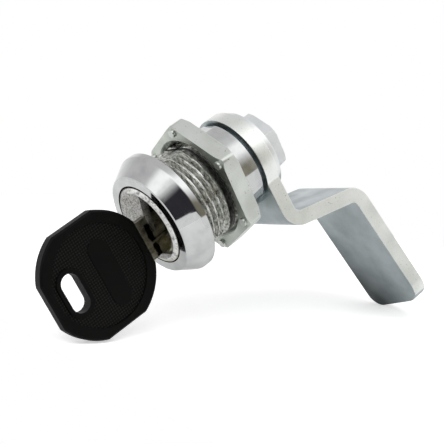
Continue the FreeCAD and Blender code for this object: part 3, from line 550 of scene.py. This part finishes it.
# %% Finishes on the solids
FINISHES = {
    "housing": chrome,
    "hex_nut": nut_metal,
    "plug": plug_metal,
    "plug_seal": rubber,
    "stop_disc": cam_metal,
    "cam": cam_metal,
    "cam_washer": screw_metal,
    "cam_screw": screw_metal,
    "key_blade": blade_metal,
    "key_bow": bow_plastic,
}
SPRINGS = sorted(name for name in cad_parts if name.startswith("wafer_spring_"))
WAFERS = sorted(
    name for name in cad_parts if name.startswith("wafer_") and name not in SPRINGS
)
FINISHES.update({name: brass for name in WAFERS})
FINISHES.update({name: spring_wire for name in SPRINGS})
for node, material in FINISHES.items():
    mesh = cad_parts[node].data
    mesh.materials.clear()
    mesh.materials.append(material)
print("wafers:", len(WAFERS), "springs:", len(SPRINGS))

# %% [markdown]
# ## Pieces with finer form
# The solids are exact but have edges as sharp as a razor, and no thread. Each visible one is copied
# and its loose triangles are merged. The copy gets its finer form and takes the solid's place.
# First come the small steps that every piece needs: choosing it, opening its mesh, and moving a
# new primitive's place and size into its mesh, so that the object itself sits at the origin.

# %% Helpers for pieces
MERGE_DISTANCE = 0.002 * MM
FLAT_ANGLE = math.radians(0.5)
SHARP_ANGLE = math.radians(30)


def nothing_selected():
    """Starts the next operator with a clean selection."""
    if bpy.context.object and bpy.context.object.mode != "OBJECT":
        bpy.ops.object.mode_set(mode="OBJECT")
    bpy.ops.object.select_all(action="DESELECT")


def choose(piece):
    """Selects one piece and makes it the active one."""
    nothing_selected()
    piece.select_set(True)
    bpy.context.view_layer.objects.active = piece


def open_mesh(piece, action="SELECT"):
    """Opens a piece's mesh for editing, with everything in it selected, or nothing."""
    choose(piece)
    bpy.ops.object.mode_set(mode="EDIT")
    bpy.ops.mesh.select_all(action=action)


def new_piece(name, scale=(1, 1, 1)):
    """Names the primitive just added and moves its place, turn and size into its mesh."""
    piece = bpy.context.object
    piece.name = name
    piece.scale = scale
    bpy.ops.object.transform_apply(location=True, rotation=True, scale=True)
    return piece


def apply_modifier(piece, kind, **settings):
    """Adds a modifier to a piece and applies it at once."""
    choose(piece)
    modifier = piece.modifiers.new("step", kind)
    for name, value in settings.items():
        setattr(modifier, name, value)
    bpy.ops.object.modifier_apply(modifier=modifier.name)


def copy_of_solid(node, name):
    """A merged copy of a CAD node's mesh, with flat areas joined up."""
    piece = bpy.data.objects.new(name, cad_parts[node].data.copy())
    scene.collection.objects.link(piece)
    open_mesh(piece)
    bpy.ops.mesh.customdata_custom_splitnormals_clear()
    bpy.ops.mesh.remove_doubles(threshold=MERGE_DISTANCE)
    bpy.ops.mesh.dissolve_limited(angle_limit=FLAT_ANGLE)
    bpy.ops.object.mode_set(mode="OBJECT")
    return piece

# %% [markdown]
# A real edge is never quite sharp. Its rounding is a bevel a tenth or two of a millimetre wide,
# put only on the edges that need it. After that a piece gets its material and its shading, rides on
# its body, and takes the place of its solid. A second finish goes on some of its faces, which are
# picked by their place and by where they face.

# %% Edges and finishes of pieces
def soften_edges(piece, width, wanted=None):
    """Rounds sharp edges by a width in millimetres, where both ends of the edge are wanted."""
    open_mesh(piece, "DESELECT")
    bpy.ops.mesh.select_mode(type="EDGE")
    bpy.ops.mesh.edges_select_sharp(sharpness=SHARP_ANGLE)
    bpy.ops.object.mode_set(mode="OBJECT")
    points = piece.data.vertices
    if wanted:
        for edge in piece.data.edges:
            ends = [points[end].co / MM for end in edge.vertices]
            edge.select = edge.select and all(wanted(end) for end in ends)
    count = sum(edge.select for edge in piece.data.edges)
    bpy.ops.object.mode_set(mode="EDIT")
    bpy.ops.mesh.bevel(offset=width * MM, segments=2, clamp_overlap=True)
    bpy.ops.object.mode_set(mode="OBJECT")
    print("%s: %d edges softened by %.2f mm" % (piece.name, count, width))


def finish_piece(piece, material, body, slot, *nodes, smooth=35):
    """Gives a piece its material, shading and body, and hides the solids it replaces. The slot is
    not used.
    """
    piece.data.materials.clear()
    piece.data.materials.append(material)
    choose(piece)
    bpy.ops.object.shade_smooth_by_angle(angle=math.radians(smooth))
    apply_modifier(piece, "WEIGHTED_NORMAL", keep_sharp=True)
    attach(piece, body)
    if nodes:
        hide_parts(*nodes)
    print("%s: %d faces" % (piece.name, len(piece.data.polygons)))


def second_finish(piece, material, wanted):
    """Gives another material to the faces wanted by their middle, in millimetres, and normal."""
    piece.data.materials.append(material)
    faces = [face for face in piece.data.polygons if wanted(face.center / MM, face.normal)]
    for face in faces:
        face.material_index = 1
    print("%s: %d faces in %s" % (piece.name, len(faces), material.name))

# %% [markdown]
# ### Barrel with its thread
# The solid barrel is a plain cylinder at the thread's crest. Its copy is turned down to the root
# with a boolean, which takes away a ring. The ring is a bar with a longer bar cut out of it.

# %% Turning and cutting
ROUND_SIDES = 160
OVERREACH = 2
NEAR = 0.02


def off_axis(place):
    """How far a place is from the lock's axis."""
    return math.hypot(place.x, place.z)


def round_bar(name, radius, start, stop):
    """A cylinder round the lock's axis between two places along it, in millimetres."""
    nothing_selected()
    bpy.ops.mesh.primitive_cylinder_add(
        vertices=ROUND_SIDES,
        radius=radius * MM,
        depth=(stop - start) * MM,
        location=(0, (start + stop) / 2 * MM, 0),
        rotation=(math.pi / 2, 0, 0),
    )
    return new_piece(name)


def cut_with(piece, cutter):
    """Cuts a piece with another, which is then thrown away."""
    apply_modifier(piece, "BOOLEAN", object=cutter, operation="DIFFERENCE", solver="EXACT")
    bpy.data.objects.remove(cutter)


def cut_ring(piece, inner, outer, start, stop):
    """Cuts a ring round the lock's axis out of a piece, between two radii in millimetres."""
    ring = round_bar("ring", outer, start, stop)
    cut_with(ring, round_bar("core", inner, start - OVERREACH, stop + OVERREACH))
    cut_with(piece, ring)


def trim(piece, place, normal):
    """Cuts off what lies beyond a plane and closes the cut."""
    open_mesh(piece)
    bpy.ops.mesh.bisect(
        plane_co=Vector(place) * MM,
        plane_no=Vector(normal).normalized(),
        use_fill=True,
        clear_outer=True,
        threshold=MERGE_DISTANCE / 2,
    )
    bpy.ops.object.mode_set(mode="OBJECT")

# %% Housing turned down to the thread's root
HEAD_FACE = -5.9
MOUTH_RADIUS = 9.8
HEAD_EDGES = 10.5
THREAD_CREST = 11.0
THREAD_ROOT = 10.08
THREAD_START = 0.1
THREAD_END = 12.4
THREAD_RUNOUT = 0.75
housing = copy_of_solid("housing", "housing_chromed")
cut_ring(
    housing, THREAD_ROOT, THREAD_CREST + OVERREACH, THREAD_START, THREAD_END + THREAD_RUNOUT
)
soften_edges(
    housing, 0.32, lambda point: point.y < HEAD_FACE + NEAR and off_axis(point) < MOUTH_RADIUS
)
soften_edges(housing, 0.14, lambda point: point.y < 0 and off_axis(point) > HEAD_EDGES)

# %% [markdown]
# A shadow gap runs round the end of the tail, where the casting stops short of the cam. It is
# another ring, cut half a millimetre wide.

# %% Shadow gap before the cam
TAIL_END = 18.4
TAIL_RADIUS = 10.3
GAP_WIDTH = 0.5
GAP_DEPTH = 1.3
cut_ring(
    housing, TAIL_RADIUS - GAP_DEPTH, TAIL_RADIUS + OVERREACH,
    TAIL_END - GAP_WIDTH, TAIL_END + OVERREACH,
)
print("housing faces:", len(housing.data.polygons))

# %% [markdown]
# The thread is a ridge with sloping sides, wound round the barrel by the Screw modifier at 1.5 mm
# for each turn, a usual fine pitch at this size. It is cheaper than a displaced surface and its
# edge is real. A plane is narrowed on its outer side to make the ridge's section, which sinks a
# little into the root so that no crack shows. The Screw modifier winds it round z, so the ridge is
# then laid along the barrel.

# %% The ridge of the thread
THREAD_PITCH = 1.5
FOOT_SHARE = 0.92
CREST_SHARE = 0.2
SINK = 0.12
STEPS_PER_TURN = 96
ridge_height = THREAD_CREST - THREAD_ROOT + SINK
ridge_middle = THREAD_CREST - ridge_height / 2
ridge_width = FOOT_SHARE * THREAD_PITCH
thread_turns = (THREAD_END - THREAD_START) / THREAD_PITCH + 1
nothing_selected()
bpy.ops.mesh.primitive_plane_add(
    size=1, rotation=(math.pi / 2, 0, 0), location=(ridge_middle * MM, 0, 0)
)
thread = new_piece("barrel_thread", scale=(ridge_height * MM, ridge_width * MM, 1))
for point in thread.data.vertices:
    point.select = point.co.x > ridge_middle * MM
for edge in thread.data.edges:
    edge.select = all(thread.data.vertices[end].select for end in edge.vertices)
for face in thread.data.polygons:
    face.select = False
bpy.ops.object.mode_set(mode="EDIT")
bpy.ops.transform.resize(value=(1, 1, CREST_SHARE), center_override=(0, 0, 0))
bpy.ops.mesh.select_all(action="SELECT")
bpy.ops.transform.translate(value=(0, 0, (THREAD_START - THREAD_PITCH / 2) * MM))
bpy.ops.object.mode_set(mode="OBJECT")
apply_modifier(
    thread,
    "SCREW",
    axis="Z",
    angle=2 * math.pi * thread_turns,
    screw_offset=THREAD_PITCH * thread_turns * MM,
    steps=int(STEPS_PER_TURN * thread_turns),
    render_steps=int(STEPS_PER_TURN * thread_turns),
    use_smooth_shade=False,
)
open_mesh(thread)
bpy.ops.transform.rotate(value=math.pi / 2, orient_axis="X", center_override=(0, 0, 0))
bpy.ops.mesh.remove_doubles(threshold=MERGE_DISTANCE)
bpy.ops.mesh.normals_make_consistent(inside=False)
bpy.ops.object.mode_set(mode="OBJECT")
reach = [point.co.y / MM for point in thread.data.vertices]
print("thread from %.2f to %.2f mm" % (min(reach), max(reach)))

# %% [markdown]
# The ridge starts and ends with the barrel's thread, and flats above and below cut through it, as
# on the real barrel. The head's bore beside the plug is painted dark, as painted shade in the gap.

# %% Trim the ridge to the barrel
BARREL_FLAT = 10.05
GAP_SHADE_END = -4
HEAD_FACE_NORMAL = -0.97
trim(thread, (0, THREAD_START, 0), (0, -1, 0))
trim(thread, (0, THREAD_END, 0), (0, 1, 0))
trim(thread, (0, 0, BARREL_FLAT), (0, 0, 1))
trim(thread, (0, 0, -BARREL_FLAT), (0, 0, -1))
finish_piece(thread, thread_metal, "housing", "chromed_zinc", smooth=25)
finish_piece(housing, chrome, "housing", "chromed_zinc", "housing", smooth=25)


def in_gap(place, normal):
    """Whether a face looks into the gap round the plug, and isn't part of the head's face."""
    in_bore = off_axis(place) < MOUTH_RADIUS and place.y < GAP_SHADE_END
    return in_bore and normal.y > HEAD_FACE_NORMAL


second_finish(housing, gap_shade, in_gap)

# %% [markdown]
# ### Plug with its raised face
# The plug's face stands a little proud of the head's ring, and a sloping rim leads down to the gap.
# The rim is what catches the light beside the recess. It is made as a flat cone, and the recess and
# the keyway are cut through it with booleans. The recess is trimmed with a slanted plane first,
# because its left side isn't a wall but runs down gently from the face. The rim gets the lighter
# material with the painted highlight, and the flat keeps the plug's satin plating.

# %% Plug's face
FACE_RISE = 0.6
FACE_FRONT = HEAD_FACE - FACE_RISE
FACE_RADIUS = 8.95
FLAT_RADIUS = 8.08
RECESS_RADIUS = 7.95
RECESS_SIDE = 1.05
RECESS_SLOPE_START = (RECESS_SIDE, FACE_FRONT, 2.4)
RECESS_SLOPE_NORMAL = (-1, 3.6, 0.45)
RECESS_END = -6.75
KEYWAY_GAP = 0.05


def block(name, low, high):
    """A block between two corners in millimetres."""
    low, high = Vector(low), Vector(high)
    nothing_selected()
    bpy.ops.mesh.primitive_cube_add(size=1, location=(low + high) / 2 * MM)
    return new_piece(name, scale=(high - low) * MM)


nothing_selected()
bpy.ops.mesh.primitive_cone_add(
    vertices=ROUND_SIDES,
    radius1=FLAT_RADIUS * MM,
    radius2=FACE_RADIUS * MM,
    depth=FACE_RISE * MM,
    location=(0, (HEAD_FACE - FACE_RISE / 2) * MM, 0),
    rotation=(-math.pi / 2, 0, 0),
)
plug_face = new_piece("plug_face")
recess = round_bar("recess", RECESS_RADIUS, HEAD_FACE - OVERREACH, HEAD_FACE + OVERREACH)
trim(recess, (RECESS_SIDE, 0, 0), (-1, 0, 0))
trim(recess, RECESS_SLOPE_START, RECESS_SLOPE_NORMAL)
trim(recess, (0, 0, RECESS_END), (0, 0, -1))
cut_with(plug_face, recess)
blade_low, blade_high = (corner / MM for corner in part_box("key_blade"))
keyway = block(
    "keyway",
    (-RECESS_SIDE, HEAD_FACE - OVERREACH, blade_low.z - KEYWAY_GAP),
    (RECESS_SIDE, HEAD_FACE + OVERREACH, blade_high.z + KEYWAY_GAP),
)
cut_with(plug_face, keyway)
soften_edges(plug_face, 0.06, lambda point: point.y < FACE_FRONT + NEAR / 2)
finish_piece(plug_face, plug_metal, "plug", "satin_zinc", smooth=25)
second_finish(
    plug_face, rim_highlight_metal,
    lambda place, normal: -0.95 < normal.y < -0.5 and off_axis(place) > FLAT_RADIUS + NEAR,
)

# %% [markdown]
# ### Blade
# The blade was milled and its long edges were broken with a file, so they are rounded by less than
# a tenth of a millimetre. Its stains and painted shade are in its material.

# %% Blade
blade = copy_of_solid("key_blade", "key_blade_milled")
soften_edges(blade, 0.08)
finish_piece(blade, blade_metal, "key", "nickel_steel", "key_blade", smooth=35)

# %% [markdown]
# ### Nut, cam, washer and screw
# Stamping, turning and tumbling leave edges a tenth or two of a millimetre round, and those edges
# catch the light as a fine bright line. That line is most of what tells the eye that a thing is
# steel, so each copy gets its edges softened.

# %% Softened steel pieces
STEEL_PIECES = {
    "hex_nut": ("hex_nut_stamped", nut_metal, "nut", "zinc_plated_steel", 0.18),
    "cam": ("cam_cranked", cam_metal, "plug", "zinc_plated_steel", 0.2),
    "cam_washer": ("cam_washer_stamped", screw_metal, "plug", "zinc_plated_steel", 0.12),
    "cam_screw": ("cam_screw_headed", screw_metal, "plug", "zinc_plated_steel", 0.15),
}
steel = {}
for node, (name, material, body, slot, width) in STEEL_PIECES.items():
    steel[node] = copy_of_solid(node, name)
    soften_edges(steel[node], width)
    finish_piece(steel[node], material, body, slot, node, smooth=40)

# %% [markdown]
# The nut's sides and nibs and the cam's edges are the sheared ones, painted lighter as painted
# light. The flat of the nut and the broad faces of the strip keep the sheet's own finish, and so do
# the bores inside them.

# %% Sheared edges of nut and cam
NUT_FRONT = 8.4
NUT_BORE_EDGE = 12
CAM_HOLE_EDGE = 9
CAM_ROUND_END = -9.5
SIDE_NORMAL = 0.5
EDGE_NORMAL = 0.8


def on_nut_side(place, normal):
    """Whether a face is on the nut's side or on one of its nibs."""
    raised = abs(normal.y) < SIDE_NORMAL or place.y < NUT_FRONT - NEAR
    return raised and off_axis(place) > NUT_BORE_EDGE


def on_cam_edge(place, normal):
    """Whether a face is on the strip's long edges or on the edge of its round end."""
    round_end = place.z > CAM_ROUND_END and off_axis(place) > CAM_HOLE_EDGE
    return abs(normal.x) > EDGE_NORMAL or (round_end and abs(normal.y) < SIDE_NORMAL)


second_finish(steel["hex_nut"], nut_side_lit_metal, on_nut_side)
second_finish(steel["cam"], cam_edge_lit_metal, on_cam_edge)

# %% [markdown]
# ### Bow with its grained panels
# The bow's solid has the right outline. Its faces inside the rim get the grained plastic, and every
# sharp edge is rounded a little, since a moulding has none.

# %% Bow
PANEL_DEPTH = 0.3
bow = copy_of_solid("key_bow", "key_bow_moulded")
soften_edges(bow, 0.14)
finish_piece(bow, bow_plastic, "key", "black_plastic", "key_bow", smooth=35)
panel_place = max(abs(point.co.x) for point in bow.data.vertices) / MM - PANEL_DEPTH
second_finish(
    bow, panel_plastic,
    lambda place, normal: abs(abs(place.x) - panel_place) < NEAR and abs(normal.x) > 0.99,
)

# %% [markdown]
# On each side a smooth pad stands a tenth of a millimetre off the panel, where such keys often
# carry a name. It is left bare. A block gets round ends, with bevels just under half its width, and
# then its outer edges are rounded as a moulding's are.

# %% Pads on the bow
PAD_SIZE = Vector((0.3, 4.6, 15.5))
PAD_PLACE = Vector((1.15, -19.3, -2.9))
END_ROUNDING = 0.499
for side, name in ((1, "bow_pad_right"), (-1, "bow_pad_left")):
    middle = Vector((PAD_PLACE.x * side, *PAD_PLACE.yz))
    pad = block(name, middle - PAD_SIZE / 2, middle + PAD_SIZE / 2)
    open_mesh(pad, "DESELECT")
    bpy.ops.object.mode_set(mode="OBJECT")
    for edge in pad.data.edges:
        start, end = (pad.data.vertices[number].co for number in edge.vertices)
        edge.select = abs(start.x - end.x) > PAD_SIZE.x / 2 * MM
    bpy.ops.object.mode_set(mode="EDIT")
    bpy.ops.mesh.bevel(offset=END_ROUNDING * PAD_SIZE.y * MM, segments=12)
    bpy.ops.object.mode_set(mode="OBJECT")
    soften_edges(pad, 0.06, lambda point: abs(point.x) > PAD_PLACE.x)
    finish_piece(pad, bow_plastic, "key", "black_plastic")

# %% [markdown]
# ### Springs
# Each wafer's spring is wound wire. One turn of a small circle is swept by the Screw modifier, and
# the coil stands on the wafer's lug. Its two open ends are closed.

# %% Wound springs
WIRE_RADIUS = 0.1
END_ROOM = 1.1 * WIRE_RADIUS
COIL_TURNS = 7
STEPS_PER_COIL_TURN = 16
for node in SPRINGS:
    low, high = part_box(node)
    middle = (low + high) / 2
    coil_radius = (high.x - low.x) / 2 - WIRE_RADIUS * MM
    nothing_selected()
    bpy.ops.mesh.primitive_circle_add(
        vertices=8,
        radius=WIRE_RADIUS * MM,
        location=(coil_radius, 0, 0),
        rotation=(math.pi / 2, 0, 0),
    )
    coil = new_piece(node + "_wound")
    apply_modifier(
        coil,
        "SCREW",
        axis="Z",
        angle=2 * math.pi * COIL_TURNS,
        screw_offset=high.z - low.z - 2 * END_ROOM * MM,
        steps=STEPS_PER_COIL_TURN * COIL_TURNS,
        render_steps=STEPS_PER_COIL_TURN * COIL_TURNS,
    )
    choose(coil)
    bpy.ops.transform.translate(value=(middle.x, middle.y, low.z + END_ROOM * MM))
    bpy.ops.object.transform_apply(location=True, rotation=True, scale=True)
    open_mesh(coil, "DESELECT")
    bpy.ops.mesh.select_non_manifold()
    bpy.ops.mesh.edge_face_add()
    bpy.ops.mesh.select_all(action="SELECT")
    bpy.ops.mesh.normals_make_consistent(inside=False)
    bpy.ops.object.mode_set(mode="OBJECT")
    finish_piece(coil, spring_wire, "plug", "spring_steel", node, smooth=60)

# %% [markdown]
# ## Floor
# The lock lies on a pale card, propped on the edge of its bow and the tip of its cam, so the card
# is tilted in the lock's own frame. To the camera the card glows a little over its shading, which
# makes it white and leaves a faint shadow, and metal mirrors less of that glow. The card is clear
# from below, so that it hides nothing there.

# %% Card
FLOOR_GLOW = 0.5
MIRRORED_GLOW = 0.2
floor_material, shader = new_material("pale_card", "#f2f2f2", roughness=0.9)
rays = add_node(shader, "ShaderNodeLightPath")
glow = add_node(
    shader, "ShaderNodeMath", {"operation": "MULTIPLY"},
    i0=rays.outputs["Is Glossy Ray"], i1=MIRRORED_GLOW,
)
glow = add_node(
    shader, "ShaderNodeMath", {"operation": "MULTIPLY_ADD"},
    i0=rays.outputs["Is Camera Ray"], i1=FLOOR_GLOW, i2=glow,
)
glow = add_node(shader, "ShaderNodeEmission", Strength=glow)
card = add_node(shader, "ShaderNodeAddShader", i0=shader, i1=glow)
clear = add_node(shader, "ShaderNodeBsdfTransparent")
sides = add_node(shader, "ShaderNodeNewGeometry")
card = add_node(
    shader, "ShaderNodeMixShader", i0=sides.outputs["Backfacing"], i1=card, i2=clear
)
tree = shader.id_data
tree.links.new(card.outputs[0], tree.nodes["Material Output"].inputs["Surface"])

# %% [markdown]
# The card is a disc about the point on its plane that is nearest to the lock's middle. It ends just
# in front of the bow, so that the key doesn't run into it as it slides out.

# %% Floor
FLOOR_NORMAL = Vector((0.25, 0.494, 0.833)).normalized()
FLOOR_DISTANCE = -25.74
FLOOR_MIDDLE = Vector((0, 20, 0))
FLOOR_RADIUS = 110
FLOOR_EDGE = -38
below = FLOOR_MIDDLE - FLOOR_NORMAL * (FLOOR_MIDDLE.dot(FLOOR_NORMAL) - FLOOR_DISTANCE)
nothing_selected()
bpy.ops.mesh.primitive_circle_add(
    vertices=64,
    radius=FLOOR_RADIUS * MM,
    fill_type="NGON",
    location=below * MM,
    rotation=FLOOR_NORMAL.to_track_quat("Z", "Y").to_euler(),
)
floor = new_piece("floor")
trim(floor, (0, FLOOR_EDGE, 0), (0, -1, 0))
floor.data.materials.append(floor_material)
print("floor: %d corners" % len(floor.data.vertices))

# %% [markdown]
# ## Studio
# The world is white all round for the camera. Metal sees a studio in it: a white sweep, a soft grey
# ceiling on the left, and on the right a dark wall. The wall's lower edge is sharp, where it meets
# the sweep, and its upper edge fades, where the lamp lights it. Both edges lean along the lock.
# That wall makes the dark band that tells the eye that a cone is chrome.

# %% Dark wall
LOWER_LEAN = 0.288
UPPER_LEAN = 0.637
WALL_FOOT = (math.radians(-20), math.radians(-18))
WALL_TOP = (math.radians(13), math.radians(39))
WALL_END = (0.495, 0.51)
WALL_TONES = (-0.4, 0.45)
world = bpy.data.worlds.new("studio")
scene.world = world
world.use_nodes = True
shader = world.node_tree.nodes["Background"]
place = add_node(shader, "ShaderNodeTexCoord").outputs["Generated"]
axes = add_node(shader, "ShaderNodeSeparateXYZ", Vector=place)
round_axis = add_node(
    shader, "ShaderNodeMath", {"operation": "ARCTAN2"}, i0=axes.outputs["Z"], i1=axes.outputs["X"]
)
lower_edge = add_node(
    shader, "ShaderNodeMath", {"operation": "MULTIPLY_ADD"},
    i0=axes.outputs["Y"], i1=LOWER_LEAN, i2=round_axis,
)
lower_edge = add_node(
    shader, "ShaderNodeMapRange", {"interpolation_type": "SMOOTHSTEP"},
    i0=lower_edge, i1=WALL_FOOT[0], i2=WALL_FOOT[1], i3=0.0, i4=1.0,
)
height = add_node(
    shader, "ShaderNodeMath", {"operation": "MULTIPLY_ADD"},
    i0=axes.outputs["Y"], i1=UPPER_LEAN, i2=round_axis,
)
upper_edge = add_node(
    shader, "ShaderNodeMapRange", {"interpolation_type": "SMOOTHSTEP"},
    i0=height, i1=WALL_TOP[0], i2=WALL_TOP[1], i3=1.0, i4=0.0,
)
far_edge = add_node(
    shader, "ShaderNodeMapRange",
    i0=axes.outputs["Y"], i1=WALL_END[0], i2=WALL_END[1], i3=1.0, i4=0.0,
)
wall = add_node(shader, "ShaderNodeMath", {"operation": "MULTIPLY"}, i0=lower_edge, i1=upper_edge)
wall = add_node(shader, "ShaderNodeMath", {"operation": "MULTIPLY"}, i0=wall, i1=far_edge)
wall_colour = add_node(
    shader, "ShaderNodeMapRange",
    i0=axes.outputs["Y"], i1=WALL_TONES[0], i2=WALL_TONES[1], i3=0.0, i4=1.0,
)
wall_colour = add_node(
    shader, "ShaderNodeValToRGB", Fac=wall_colour, stops=[(0.0, "#38363c"), (1.0, "#95907f")]
)
print("wall from %.0f degrees" % math.degrees(WALL_FOOT[0]))

# %% Ceiling and sweep
CEILING_WAY = Vector((-0.4, 0.1, 0.91))
CEILING_EDGE = (math.cos(math.radians(55)), math.cos(math.radians(20)))
ceiling = add_node(
    shader, "ShaderNodeVectorMath", {"operation": "DOT_PRODUCT"}, i0=place, i1=CEILING_WAY
)
ceiling = add_node(
    shader, "ShaderNodeMapRange", {"interpolation_type": "SMOOTHSTEP"},
    i0=ceiling.outputs["Value"], i1=CEILING_EDGE[0], i2=CEILING_EDGE[1], i3=0.0, i4=1.0,
)
sweep = add_node(
    shader, "ShaderNodeValToRGB", Fac=ceiling, stops=[(0.0, "#ffffff"), (1.0, "#dfdedf")]
)
studio = add_node(shader, "ShaderNodeMixRGB", i0=wall, i1=sweep, i2=wall_colour)
rays = add_node(shader, "ShaderNodeLightPath")
add_node(
    shader, "ShaderNodeMixRGB", to="Color",
    i0=rays.outputs["Is Glossy Ray"], i1=linear("#ffffff"), i2=studio,
)
print("studio's nodes:", len(world.node_tree.nodes))

# %% [markdown]
# The white world would light the lock too much, so matt surfaces get about half of it, while the
# camera, metal and glass see all of it. Metal also sees the glare of the lamp, which is a soft
# stripe above the wall that is brighter than white.

# %% Strength of the world
DIFFUSE_LEVEL = 0.55
LAMP_HEIGHT = math.radians(58)
LAMP_EDGE = (math.radians(6), math.radians(26))
LAMP_GLARE = 0.6
level = rays.outputs["Is Camera Ray"]
for kind in ("Is Glossy Ray", "Is Transmission Ray"):
    level = add_node(
        shader, "ShaderNodeMath", {"operation": "MAXIMUM"}, i0=level, i1=rays.outputs[kind]
    )
level = add_node(shader, "ShaderNodeMapRange", i0=level, i1=0.0, i2=1.0, i3=DIFFUSE_LEVEL, i4=1.0)
glare = add_node(shader, "ShaderNodeMath", {"operation": "SUBTRACT"}, i0=height, i1=LAMP_HEIGHT)
glare = add_node(shader, "ShaderNodeMath", {"operation": "ABSOLUTE"}, i0=glare)
glare = add_node(
    shader, "ShaderNodeMapRange", {"interpolation_type": "SMOOTHSTEP"},
    i0=glare, i1=LAMP_EDGE[0], i2=LAMP_EDGE[1], i3=LAMP_GLARE, i4=0.0,
)
add_node(
    shader, "ShaderNodeMath", {"operation": "MULTIPLY_ADD"}, to="Strength",
    i0=glare, i1=rays.outputs["Is Glossy Ray"], i2=level,
)
print("world's nodes:", len(world.node_tree.nodes))

# %% [markdown]
# One long soft box above the right side lights the lock and gives it its faint shadow. It is wide,
# so the shadow is soft. Metal doesn't mirror the box itself, as its glare is in the world.

# %% Lamp
def soft_box(name, start, stop, width, power):
    """A long lamp from start to stop that faces the lock, in millimetres."""
    start, stop = Vector(start), Vector(stop)
    middle = (start + stop) / 2
    data = bpy.data.lights.new(name, "AREA")
    data.shape = "RECTANGLE"
    data.size, data.size_y = (stop - start).length * MM, width * MM
    data.energy = power
    lamp = bpy.data.objects.new(name, data)
    scene.collection.objects.link(lamp)
    back = middle.normalized()
    along = ((stop - start) - back * (stop - start).dot(back)).normalized()
    turn = Matrix((along, back.cross(along), back)).transposed()
    lamp.matrix_world = Matrix.Translation(middle * MM) @ turn.to_4x4()
    lamp.visible_glossy = False
    print("%s: %.0f mm from the lock" % (name, middle.length))


soft_box("strip_soft_box", start=(80, -240, 360), stop=(300, 230, 230), width=215, power=0.9)

# %% [markdown]
# The Standard view shows a colour as it is written.

# %% View
scene.view_settings.view_transform = "Standard"
